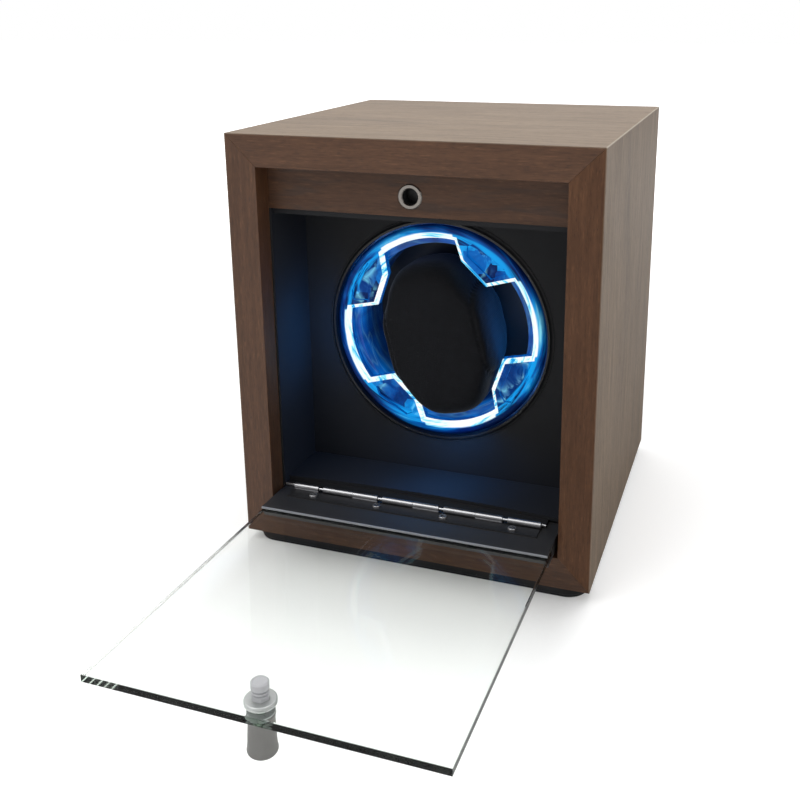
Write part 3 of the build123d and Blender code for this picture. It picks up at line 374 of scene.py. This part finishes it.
CARD_DARK = (0.8, 0.82, 0.93)
CARD_LIGHT = (1.2, 1.23, 1.4)
SKIN_GRAIN = 1500.0
SKIN_DEPTH = 0.00002
TRIM_RIM = (0.0492, 0.0496)
TRIM_BLACK = (0.008, 0.0085, 0.010)
# The paler grey of the painted highlight on the outer edge
TRIM_RIM_HIGHLIGHT = (0.058, 0.058, 0.060)
STRIP_TONES = ((0.0235, 0.0230, 0.0235), (0.0310, 0.0305, 0.0310))
# The painted highlight on the strip's nose
STRIP_NOSE_HIGHLIGHT = (0.22, 0.23, 0.25)
NOSE_BLEND = 0.0003
SHEEN_TINT = (0.35, 0.36, 0.40)
WAVE_TURN = 6.28


def black_card(name, level, rough, grain, depth):
    """Lining card with a fine leather-like grain."""
    n = Nodes(name)
    flow = n.place()
    cells = n.add("ShaderNodeTexVoronoi", {"Vector": flow, "Scale": grain}, feature="F1")
    cloud = n.noise(flow, 45.0, 3.0)
    colour = n.mix(cloud, times(CARD_DARK, level), times(CARD_LIGHT, level))
    height = n.math("ADD", cells.outputs["Distance"], n.noise(flow, grain * 0.4, 2.0))
    return n.surface(base_color=colour, roughness=n.span(cloud, rough - 0.06, rough + 0.08), specular=0.22,
                     normal=n.bump(height, depth, 0.6))


def moulded(name, colour, rough=0.42):
    """Moulded plastic with a fine spark-eroded skin and a slight change of tone."""
    n = Nodes(name)
    flow = n.place()
    cloud = n.noise(flow, 60.0, 3.0)
    skin = n.noise(flow, SKIN_GRAIN, 2.0)
    tone = n.mix(cloud, times(colour, 0.86), times(colour, 1.14))
    return n.surface(base_color=tone, roughness=n.span(cloud, rough - 0.05, rough + 0.07),
                     normal=n.bump(skin, SKIN_DEPTH, 0.5))


def strip_black():
    """The matt black extrusion, with a painted highlight line on its rounded nose over the glass."""
    n = Nodes("strip_black")
    flow = n.place()
    cloud = n.noise(flow, 60.0, 3.0)
    skin = n.noise(flow, SKIN_GRAIN, 2.0)
    # A painted highlight line along the nose
    nose = n.step(n.split(flow)["Y"], STRIP_NOSE_Y, STRIP_NOSE_Y - NOSE_BLEND)
    tone = n.mix(nose, n.mix(cloud, *STRIP_TONES), STRIP_NOSE_HIGHLIGHT)
    return n.surface(base_color=tone, roughness=n.span(cloud, 0.41, 0.53),
                     normal=n.bump(skin, SKIN_DEPTH, 0.5))


def from_rotor(n):
    """Where the place is from the rotor's centre."""
    return n.vector("SUBTRACT", n.coordinates(), tuple(ROTOR_CENTRE))


def rim_trim():
    """The opening's ring: black, with a paler grey painted highlight on its outer edge."""
    n = Nodes("trim_ring_black")
    radius = n.length(n.scaled(from_rotor(n), ACROSS_ROTOR))
    cloud = n.noise(n.place(), 90.0, 3.0)
    # A painted highlight on the outer edge, in patches
    rim = n.product(n.step(radius, *TRIM_RIM), n.span(cloud, 0.6, 1.0))
    return n.surface(base_color=n.mix(rim, TRIM_BLACK, TRIM_RIM_HIGHLIGHT), roughness=n.span(cloud, 0.30, 0.42),
                     specular=0.35)


def cloth(name, colour, scale, depth=0.00012, sheen=0.6):
    """A close napped weave that needs no UVs."""
    n = Nodes(name)
    flow = n.place()

    def threads(direction):
        inputs = {"Vector": flow, "Scale": scale / WAVE_TURN, "Distortion": 1.2, "Detail": 2.0,
                  "Detail Scale": 2.0}
        return n.add("ShaderNodeTexWave", inputs, bands_direction=direction).outputs["Fac"]

    weave = n.product(threads("X"), threads("Z"))
    nap = n.noise(flow, 320.0, 4.0, 0.65)
    return n.surface(base_color=n.mix(nap, times(colour, 0.6), times(colour, 1.5)), roughness=0.88,
                     sheen=sheen, sheen_roughness=0.45, sheen_tint=SHEEN_TINT, specular=0.25,
                     normal=n.bump(n.math("ADD", weave, nap), depth, 0.7))


# Metal and glass

ALONG_LINES = {"X": (12.0, 1500.0, 1500.0), "Z": (1500.0, 1500.0, 12.0)}
LINE_DEPTH = 0.00002
# Where the hinge's flat leaf ends before the barrel, and where the painted highlight on the bead behind it
# starts and ends, from the pin's Y
LEAF_END = (-0.0015, -0.0018)
BEAD_START = (0.0016, 0.0018)
BEAD_END = (0.0026, 0.0029)
KNUCKLE_TONES = ((0.36, 0.36, 0.37), (0.46, 0.46, 0.47))
# A painted highlight on the bead, and the flat leaves' dark tone as a painted reflection of the dark inside
# of the case
BEAD_HIGHLIGHT_TONE = (0.92, 0.92, 0.92)
LEAF_DARK_REFLECTION = (0.10, 0.10, 0.105)
# The glass's own slight green, darkened as painted shade for the shadow seen through it
PANE_TINT_AND_SHADE = (0.940, 0.955, 0.938)
PANE_EDGE_TINTS = [(0.3, (0.62, 0.80, 0.65)), (0.7, (0.78, 0.92, 0.78))]
PANE_EDGE_FACING = (0.85, 0.4)
PANE_EDGE_ROUGH = 0.16
PANE_IOR = 1.2


def metal(name, colour, rough, along="X", brushed=0.0):
    """Metal with fine lines along one axis and slight smears."""
    n = Nodes(name)
    lines = n.noise(n.place(scale=ALONG_LINES[along]), 1.0, 2.0)
    smear = n.noise(n.place(), 130.0, 4.0, 0.6)
    dull = n.math("ADD", n.span(smear, rough - 0.04, rough + 0.08), n.product(lines, brushed * 0.2))
    return n.surface(base_color=n.mix(smear, times(colour, 0.82), colour), metallic=1.0, roughness=dull,
                     normal=n.bump(lines, LINE_DEPTH, 0.1 + brushed * 0.5))


def hinge_steel():
    """The hinge's nickel on the knuckles, a painted highlight on the bead behind them, and the flat leaves
    darkened as a painted reflection of the dark inside of the case.
    """
    n = Nodes("hinge_nickel")
    lines = n.noise(n.place(scale=ALONG_LINES["X"]), 1.0, 2.0)
    smear = n.noise(n.place(), 40.0, 3.0, 0.5)
    y = n.split(n.place())["Y"]
    before, highlight_start, behind = (n.step(y, HINGE_Y + low, HINGE_Y + high)
                                  for low, high in (LEAF_END, BEAD_START, BEAD_END))
    # The flat leaves are darkened as a painted reflection; the bead between gets a painted highlight
    flats = n.math("MAXIMUM", before, behind)
    tone = n.mix(n.product(highlight_start, n.rest(behind)), n.mix(smear, *KNUCKLE_TONES), BEAD_HIGHLIGHT_TONE)
    dull = n.math("ADD", n.span(smear, 0.28, 0.36), n.product(flats, 0.22))
    return n.surface(base_color=n.mix(flats, tone, LEAF_DARK_REFLECTION), metallic=1.0, roughness=dull,
                     normal=n.bump(lines, LINE_DEPTH / 2, 0.12))


def glass_material():
    """Clear float glass with a slight green tint, darkened as painted shade for the shadow seen through it.
    Its cut edges are darker and greenish.
    """
    n = Nodes("glass_pane_clear")
    edge = n.step(n.facing("Z"), *PANE_EDGE_FACING)
    haze = n.noise(n.place(), 22.0, 3.0)
    grind = n.noise(n.place(scale=(60.0, 60.0, 900.0)), 1.0, 3.0)
    rough = n.math("ADD", n.product(edge, PANE_EDGE_ROUGH), n.span(haze, 0.0, 0.02))
    return n.surface(base_color=n.mix(edge, PANE_TINT_AND_SHADE, n.ramp(grind, PANE_EDGE_TINTS)), roughness=rough,
                     transmission=1.0, ior=PANE_IOR, specular=0.3, normal=n.bump(grind, LINE_DEPTH, 0.1))


# Lamps, floor and world

WORLD_LIGHT = 0.5
FLOOR_SIZE = 6.0
FLOOR_LIFT = 0.34
FLOOR_LIFT_FAR = (0.35, 0.95)
# Each dimming: how much of the light it takes, and the directions or places between which it comes in
NEAR_SIDE_DIM = 0.70
NEAR_SIDE = (0.05, -0.55)
RIGHT_SIDE_DIM = 0.60
RIGHT_SIDE = (-0.02, 0.22)
RIGHT_FLOOR_DIM = (0.55, 0.36)
RIGHT_FLOOR_START = (0.06, 0.08)
RIGHT_FLOOR_FADE = (0.08, 0.16)
DOOR_SHADE = 0.62
DOOR_SHADE_Y = ((-0.150, -0.078), (-0.060, -0.070))
DOOR_SHADE_ASIDE = (0.085, 0.062)
# Name, place, target, width and height, watts
LAMPS = (
    ("key", (-0.7, -0.9, 1.5), (0, 0, 0.05), (1.2, 1.2), 12.0),
    ("fill", (1.4, -0.6, 1.0), (0, 0, 0.08), (1.0, 1.0), 4.0),
    ("top", (0.1, 0.5, 1.6), (0, 0, 0.1), (1.2, 1.2), 13.0),
)
GLOW_LAMPS = (
    ("glow_left", (-0.036, -0.052, 0.090), (-0.062, -0.046, 0.084), (0.012, 0.030), 0.014),
    ("glow_floor", (0.006, -0.052, 0.052), (0.004, -0.050, 0.027), (0.034, 0.012), 0.017),
    ("glow_cup", (0.034, -0.030, 0.090), (0.020, -0.024, 0.090), (0.004, 0.034), 0.012),
)
GLOW_BLUE = (0.02, 0.33, 1.0)


def area(name, place, target, size, power, colour=(1, 1, 1)):
    """An area lamp that points at its target."""
    data = bpy.data.lights.new(name, "AREA")
    data.shape = "RECTANGLE"
    data.size = size[0]
    data.size_y = size[1]
    data.energy = power
    data.color = colour
    lamp = link(name, data)
    lamp.location = place
    lamp.rotation_euler = (Vector(target) - Vector(place)).to_track_quat("-Z", "Y").to_euler()
    return lamp


def glow(name, place, target, size, power):
    """A blue lamp for the light that the ring throws on what is round it. Only what it lights shows."""
    lamp = area(name, place, target, size, power, GLOW_BLUE)
    lamp.visible_camera = False
    lamp.visible_glossy = False
    lamp.visible_transmission = False


def make_world():
    """White behind the object. What lights it is dimmer, and so is what it mirrors from the camera's side."""
    world = bpy.data.worlds.new("studio")
    bpy.context.scene.world = world
    world.use_nodes = True
    n = Nodes(world=world)
    path = n.add("ShaderNodeLightPath").outputs
    towards = n.split(n.coordinates("Generated"))
    near_side = n.product(n.step(towards["Y"], *NEAR_SIDE), NEAR_SIDE_DIM)
    right_side = n.product(n.step(towards["X"], *RIGHT_SIDE), RIGHT_SIDE_DIM)
    mirrored = n.rest(n.math("MAXIMUM", near_side, right_side))
    straight = n.math("MAXIMUM", path["Is Camera Ray"], path["Is Transmission Ray"])
    shown = n.math("MAXIMUM", straight, n.product(path["Is Glossy Ray"], mirrored))
    light = n.product(n.rest(n.seen_rays()), WORLD_LIGHT)
    shader = n.add("ShaderNodeBackground", {"Color": (1, 1, 1, 1), "Strength": n.math("ADD", shown, light)})
    output = n.add("ShaderNodeOutputWorld")
    n.put(output.inputs["Surface"], shader)


def make_floor():
    """A white floor that keeps the object's shadow. It is lifted by its own light, less so under the open
    door and where the case's right side mirrors it."""
    mesh = bpy.data.meshes.new("floor")
    build = bmesh.new()
    bmesh.ops.create_grid(build, x_segments=1, y_segments=1, size=FLOOR_SIZE)
    build.to_mesh(mesh)
    build.free()
    floor = link("floor", mesh)
    n = Nodes("floor_white")
    speckle = n.noise(n.place(), 400.0, 2.0)
    place = n.split(n.place())
    mirrored = n.add("ShaderNodeLightPath").outputs["Is Glossy Ray"]
    close, away = RIGHT_FLOOR_DIM
    dim = n.math("SUBTRACT", close, n.product(n.step(place["X"], *RIGHT_FLOOR_FADE), close - away))
    right = n.product(n.step(place["X"], *RIGHT_FLOOR_START), mirrored, dim)
    white = n.mix(speckle, (0.80, 0.80, 0.80), (0.84, 0.84, 0.84))
    diffuse = n.add("ShaderNodeBsdfDiffuse", {"Color": n.mix(right, white, (0.0, 0.0, 0.0))})
    far = n.length(n.place())
    lift = n.math("ADD", FLOOR_LIFT, n.product(n.step(far, *FLOOR_LIFT_FAR), 1.0 - FLOOR_LIFT))
    rear, front = DOOR_SHADE_Y
    shade = n.product(n.step(place["Y"], *rear), n.step(place["Y"], *front),
                      n.step(n.math("ABSOLUTE", place["X"]), *DOOR_SHADE_ASIDE))
    lift = n.product(lift, n.seen_rays(), n.rest(right), n.rest(n.product(shade, DOOR_SHADE)))
    own_light = n.add("ShaderNodeEmission", {"Color": (1, 1, 1, 1), "Strength": lift})
    both = n.add("ShaderNodeAddShader")
    n.put(both.inputs[0], diffuse)
    n.put(both.inputs[1], own_light)
    n.finish(both)
    mesh.materials.append(n.material)


# The cushion's cover

COVER_SHRINK = 0.97
COVER_VOXEL = 0.0026
COVER_CAP = 0.0018
SWELL_FRAMES = 20
SWELL_PRESSURE = 4.0
CUSHION_SAG = 0.0025
SEAM_PLACE = 0.0198
SEAM_DEPTH = 0.0007
SEAM_WIDTH = 0.0006
PUCKERS = 46
PUCKER_SHIFT = 1.3
RIPPLE_DEPTH = 0.00004
RIPPLE_WIDTH = 0.0010
RIPPLES = 23


def only(piece):
    """Selects this piece and no other."""
    bpy.ops.object.select_all(action="DESELECT")
    piece.select_set(True)
    bpy.context.view_layer.objects.active = piece


def apply_modifiers(piece):
    """Leaves the piece with the mesh that its modifiers make, and with no modifiers."""
    graph = bpy.context.evaluated_depsgraph_get()
    done = bpy.data.meshes.new_from_object(piece.evaluated_get(graph), depsgraph=graph)
    piece.modifiers.clear()
    piece.data = done


def swell(piece):
    """Fills the closed cover with air as cloth, and then keeps each point within the cap of where it was."""
    before = [v.co.copy() for v in piece.data.vertices]
    cover = piece.modifiers.new("cloth", "CLOTH")
    cover.settings.use_pressure = True
    cover.settings.uniform_pressure_force = SWELL_PRESSURE
    cover.settings.effector_weights.gravity = 0
    cover.settings.quality = 5
    cover.settings.mass = 0.15
    cover.settings.tension_stiffness = 12
    cover.settings.compression_stiffness = 12
    cover.settings.bending_stiffness = 0.3
    cover.point_cache.frame_start = 1
    cover.point_cache.frame_end = SWELL_FRAMES
    for frame_number in range(1, SWELL_FRAMES + 1):
        bpy.context.scene.frame_set(frame_number)
    apply_modifiers(piece)
    for vertex, start in zip(piece.data.vertices, before):
        way = vertex.co - start
        if way.length > COVER_CAP:
            vertex.co = start + way * (COVER_CAP / way.length)


def rotor_level(point):
    """A point of the tilted rotor as it would be with the rotor level, from the rotor's centre."""
    return Matrix.Rotation(ROTOR_TILT, 3, "Y") @ (point - ROTOR_CENTRE)


def sew(piece):
    """The two end seams, drawn in with small puckers."""
    for vertex, normal in zip(piece.data.vertices, [v.normal.copy() for v in piece.data.vertices]):
        level = rotor_level(vertex.co)
        off = abs(level.x) - SEAM_PLACE
        around = math.atan2(level.z + CUSHION_SAG, level.y - CUP_MIDDLE_Y)
        pucker = 0.75 + 0.25 * math.sin(around * PUCKERS + (PUCKER_SHIFT if level.x > 0 else 0.0))
        ripple = RIPPLE_DEPTH * math.sin(around * RIPPLES) * math.exp(-((off / RIPPLE_WIDTH) ** 2))
        vertex.co -= normal * (SEAM_DEPTH * pucker * math.exp(-((off / SEAM_WIDTH) ** 2)) + ripple)


def make_cushion(material):
    """The CAD cushion's shape as a swollen cloth cover with two seams."""
    low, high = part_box("cushion")
    centre = (low + high) / 2
    piece = link("cushion_cover", NODES["cushion"].data.copy())
    for vertex in piece.data.vertices:
        vertex.co = centre + (vertex.co - centre) * COVER_SHRINK
    only(piece)
    piece.data.remesh_voxel_size = COVER_VOXEL
    bpy.ops.object.voxel_remesh()
    swell(piece)
    smooth = piece.modifiers.new("smooth", "SUBSURF")
    smooth.levels = 2
    smooth.render_levels = 2
    apply_modifiers(piece)
    sew(piece)
    for polygon in piece.data.polygons:
        polygon.use_smooth = True
    piece.data.materials.clear()
    piece.data.materials.append(material)
    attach(piece, "cushion")
    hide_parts("cushion")


# The lit rotor

LOBE_SIDES = (0.0168, 0.0160)
LOBE_START = (0.0412, 0.0404)
BEVEL_END = (0.0448, 0.0438)
ARC_END = (0.0440, 0.0434)
HOT_WALL = (-0.0339, -0.0346)
NAVY_WALL = (0.0448, 0.0458)
BEVEL_FACING = ((0.45, 0.62), (0.93, 0.82))
WALL_FACING = (0.45, 0.25)
RAGGED = 0.0009
CUP_FADE = (-0.031, -0.012)
# How fast the flow round the axis changes with the angle, and with the radius, the depth and the radius
FLOW_TURN = (3.4, 3.4, 3.4)
FLOW_RISE = (420.0, 260.0, -300.0)
NAVY = (0.0010, 0.012, 0.075)
DEEP_BLUE = (0.001, 0.042, 0.230)
MID_BLUE = (0.002, 0.125, 0.480)
CYAN_BLUE = (0.006, 0.330, 0.800)
ICE = (0.26, 0.82, 1.0)
BAND_STOPS = [(0.54, NAVY), (0.62, DEEP_BLUE), (0.70, MID_BLUE), (0.79, CYAN_BLUE), (0.92, ICE)]
LOBE_STOPS = [(0.34, NAVY), (0.52, DEEP_BLUE), (0.68, MID_BLUE), (0.82, CYAN_BLUE)]
HOT_STOPS = [(0.34, CYAN_BLUE), (0.42, ICE), (0.49, (0.86, 0.98, 1.0)), (0.60, (1.0, 1.0, 1.0))]
CUP_STOPS = [(0.34, NAVY), (0.47, DEEP_BLUE), (0.64, MID_BLUE)]
RIM_STOPS = [(0.30, (1.0, 1.0, 1.0)), (0.60, (0.80, 0.80, 0.80)), (0.82, (0.22, 0.26, 0.30)),
             (1.0, (0.03, 0.04, 0.06))]
FADE_STOPS = [(0.0, (1.0, 1.0, 1.0)), (0.5, (0.42, 0.42, 0.42)), (1.0, (0.10, 0.10, 0.12))]


def ring_fields(n):
    """A flow that runs round the rotor's axis, the place seen along that axis, the radius and the depth."""
    off = from_rotor(n)
    flat = n.scaled(off, ACROSS_ROTOR)
    radius = n.length(flat)
    depth = n.split(off)["Y"]
    rise = n.add("ShaderNodeCombineXYZ", {axis: n.product(value, rate) for axis, value, rate
                                          in zip("XYZ", (radius, depth, radius), FLOW_RISE)}).outputs[0]
    flow = n.vector("ADD", n.scaled(n.vector("NORMALIZE", flat), FLOW_TURN), rise)
    return flow, flat, radius, depth


def between_lobes(n, flat):
    """1 on the four plain arcs of the ring and 0 on its lobes."""
    c, s = math.cos(ROTOR_TILT), math.sin(ROTOR_TILT)
    along, across = (n.math("ABSOLUTE", n.vector("DOT_PRODUCT", flat, axis, output="Value"))
                     for axis in ((c, 0, s), (-s, 0, c)))
    return n.step(n.math("MINIMUM", along, across), *LOBE_SIDES)


def ridges(n, vector, scale, sharpness, distortion=0.6):
    """Thin bright lines, as light gathers in clear plastic."""
    value = n.noise(vector, scale, 2.0, 0.5, distortion)
    folded = n.math("ABSOLUTE", n.math("SUBTRACT", n.product(value, 2.0), 1.0))
    return n.math("POWER", n.rest(folded), sharpness)


def ring_band(n, radius, along, flat):
    """The blue streaks of the ring's flat rim, which darken outwards."""
    share = n.math("DIVIDE", n.math("SUBTRACT", radius, RING_INNER), RING_OUTER - RING_INNER)
    zone = n.noise(n.scaled(flat, (38.0, 38.0, 38.0)), 1.0, 1.0, 0.5, 0.2)
    streak = n.math("ADD", n.product(zone, 0.75), n.product(along, 0.55))
    halo = n.product(n.step(share, 0.56, 0.40), n.step(along, 0.38, 0.60))
    band = n.mix(halo, n.ramp(streak, BAND_STOPS, False), CYAN_BLUE)
    return n.mix(1.0, band, n.ramp(share, RIM_STOPS), "MULTIPLY")


def ring_lobe(n, flat):
    """The blue facets of the lobes, with a few light lines."""
    cells = n.add("ShaderNodeTexVoronoi", {"Vector": n.scaled(flat, (1.0, 1.0, 0.62)), "Scale": 105.0,
                                           "Randomness": 1.0}, feature="F1", distance="CHEBYCHEV")
    facet = n.add("ShaderNodeSeparateColor", {0: cells.outputs["Color"]}).outputs[0]
    cloud = n.noise(flat, 130.0, 3.0, 0.6, 0.8)
    blues = n.ramp(n.math("ADD", n.product(facet, 0.5), n.product(cloud, 0.6)), LOBE_STOPS, False)
    lines = n.product(ridges(n, flat, 60.0, 14.0, 0.5), n.step(cloud, 0.46, 0.62))
    return n.mix(n.math("MULTIPLY", lines, 0.55, True), blues, ICE)


def lit_ring():
    """Clear acrylic lit from its edge: navy and blue streaks at the rim, a white-hot bevel, and blue facets
    in the lobes."""
    n = Nodes("ring_acrylic_lit")
    flow, flat, radius, depth = ring_fields(n)
    slope = n.facing("Y")
    along = n.noise(flow, 1.0, 3.0, 0.6, 0.4)
    arcs = between_lobes(n, flat)
    front = n.mix(n.step(radius, *LOBE_START), ring_band(n, radius, along, flat), ring_lobe(n, flat))
    hot = n.ramp(along, HOT_STOPS)
    steep, level = BEVEL_FACING
    bevel = n.product(n.step(slope, *steep), n.step(slope, *level), n.step(radius, *BEVEL_END))
    ragged = n.math("ADD", radius, n.span(along, -RAGGED, RAGGED))
    bevel = n.math("MAXIMUM", bevel, n.product(arcs, n.step(ragged, *ARC_END)))
    side = n.mix(ridges(n, flow, 1.3, 9.0), DEEP_BLUE, MID_BLUE)
    side = n.mix(n.product(arcs, n.step(depth, *HOT_WALL)), side, hot)
    side = n.mix(n.step(radius, *NAVY_WALL), side, NAVY)
    colour = n.mix(n.step(slope, *WALL_FACING), n.mix(bevel, front, hot), side)
    return n.surface(base_color=(0.001, 0.004, 0.02), roughness=0.07, specular=0.06, emission_color=colour,
                     emission_strength=1.05)


def lit_drum():
    """The cup's clear flange and wall: a deeper, cloudier blue that fades towards the back."""
    n = Nodes("drum_acrylic_lit")
    flow, flat, _, depth = ring_fields(n)
    streak = n.noise(flow, 0.5, 2.0, 0.5, 0.4)
    cloud = n.noise(flat, 70.0, 2.0, 0.5, 0.5)
    blues = n.ramp(n.math("ADD", n.product(streak, 0.4), n.product(cloud, 0.6)), CUP_STOPS, False)
    colour = n.mix(n.product(ridges(n, flow, 0.45, 20.0), 0.10), blues, ICE)
    fade = n.ramp(n.step(depth, *CUP_FADE), FADE_STOPS)
    return n.surface(base_color=(0.003, 0.010, 0.04), roughness=0.16, specular=0.2,
                     emission_color=n.mix(1.0, colour, fade, "MULTIPLY"), emission_strength=1.15)


def lit_chips():
    """The chips' own blue light behind the flange."""
    n = Nodes("lamp_chips_lit")
    cloud = n.noise(n.place(), 900.0, 2.0)
    return n.surface(base_color=(0.8, 0.8, 0.75), roughness=0.4, emission_strength=3.0,
                     emission_color=n.mix(cloud, (0.01, 0.15, 1.0), (0.05, 0.35, 1.0)))


# The scene

# The grain's axis, its seed, the tone of the front and inner faces, the tone of the outer faces with their
# painted sheen, and the shine
BOARDS = {
    "top_panel": ("X", 0.3, 1.06, 1.25, WALNUT_SHINE),
    "bottom_panel": ("X", 1.7, 0.84, 0.9, WALNUT_SHINE),
    "left_panel": ("Z", 2.9, 0.98, 0.95, WALNUT_SHINE),
    "right_panel": ("Z", 4.1, 1.06, 1.10, 0.22),
}
PANEL_EDGE = 0.00015
FASCIA_EDGE = 0.0002

make_camera()
make_world()
make_floor()
for lamp in LAMPS:
    area(*lamp)
for lamp in GLOW_LAMPS:
    glow(*lamp)

for name, (along, seed, tone, outer_sheen_tone, shine) in BOARDS.items():
    dress(walnut("walnut_" + name, along, seed, tone, outer_sheen_tone, shine=shine), name)
    soften(name, PANEL_EDGE)
dress(walnut("walnut_fascia", "X", 5.3, 0.86, 0.6, 0.55, figure=0.45), "fascia_board")
soften("fascia_board", FASCIA_EDGE)
dress(bare_wood("softwood"), "side_battens")
dress(bare_wood("softwood_blocks"), "back_blocks")

dress(black_card("lining_card", 0.0180, 0.6, 2600.0, 0.00003), "left_lining", "right_lining", "ceiling_board",
      "floor_lining")
dress(black_card("black_board", 0.0145, 0.62, 3500.0, 0.00001), "bezel_panel", "floor_board", "base_plate",
      "back_panel")
dress(cloth("black_felt", (0.012, 0.012, 0.013), 2000.0), "base_pad", "door_rest_pad")
dress(rim_trim(), "trim_ring")
dress(strip_black(), "door_strip")
dress(moulded("black_plastic", (0.016, 0.016, 0.018)), "socket_sleeve", "drum_housing", "drum_back",
      "drum_hub", "dc_jack", "mode_switch_body", "mode_button", "light_switch_body", "light_rocker",
      "board_spacers", "board_parts")
dress(moulded("black_oxide", (0.02, 0.02, 0.02), 0.35), "housing_screws", "back_screws")
dress(moulded("latch_grey", (0.47, 0.475, 0.49), 0.35), "latch_head")
dress(moulded("washer_clear", (0.4, 0.42, 0.42), 0.3), "knob_washers")
dress(moulded("white_mask", (0.7, 0.7, 0.7), 0.3), "led_board")
dress(moulded("green_mask", (0.01, 0.12, 0.04), 0.3), "control_board")
dress(moulded("blue_cover", (0.02, 0.08, 0.4), 0.35), "motor_wire_cover")

dress(hinge_steel(), "hinge_case_leaf", "hinge_door_leaf")
dress(metal("hinge_chrome", (0.50, 0.50, 0.51), 0.20), "hinge_pin", "jack_nut")
dress(metal("socket_nickel", (0.20, 0.185, 0.17), 0.26), "socket_ring")
dress(metal("zinc_steel", (0.56, 0.56, 0.57), 0.35), "base_screws", "hinge_door_screws", "hinge_case_screws",
      "hub_screws", "board_screws", "motor_screws", "knob_stud", "motor_can", "motor_plate")
dress(metal("collar_grey", (0.60, 0.62, 0.61), 0.42, "Z", 0.4), "knob_collar")
dress(metal("satin_grey", (0.20, 0.198, 0.19), 0.42, "Z", 0.5), "knob_handle")
dress(metal("brass", (0.68, 0.5, 0.26), 0.3), "shaft_bush")
dress(metal("shaft_steel", (0.6, 0.58, 0.55), 0.25), "output_shaft")
dress(glass_material(), "glass_pane")

dress(lit_ring(), "light_ring")
dress(lit_drum(), "light_drum")
dress(lit_chips(), "led_chips")
# The cover's black has a slight blue cast, painted for the ring's blue light falling on it
make_cushion(cloth("cushion_suede", (0.0048, 0.0053, 0.0072), 2400.0, 0.00008, 0.25))
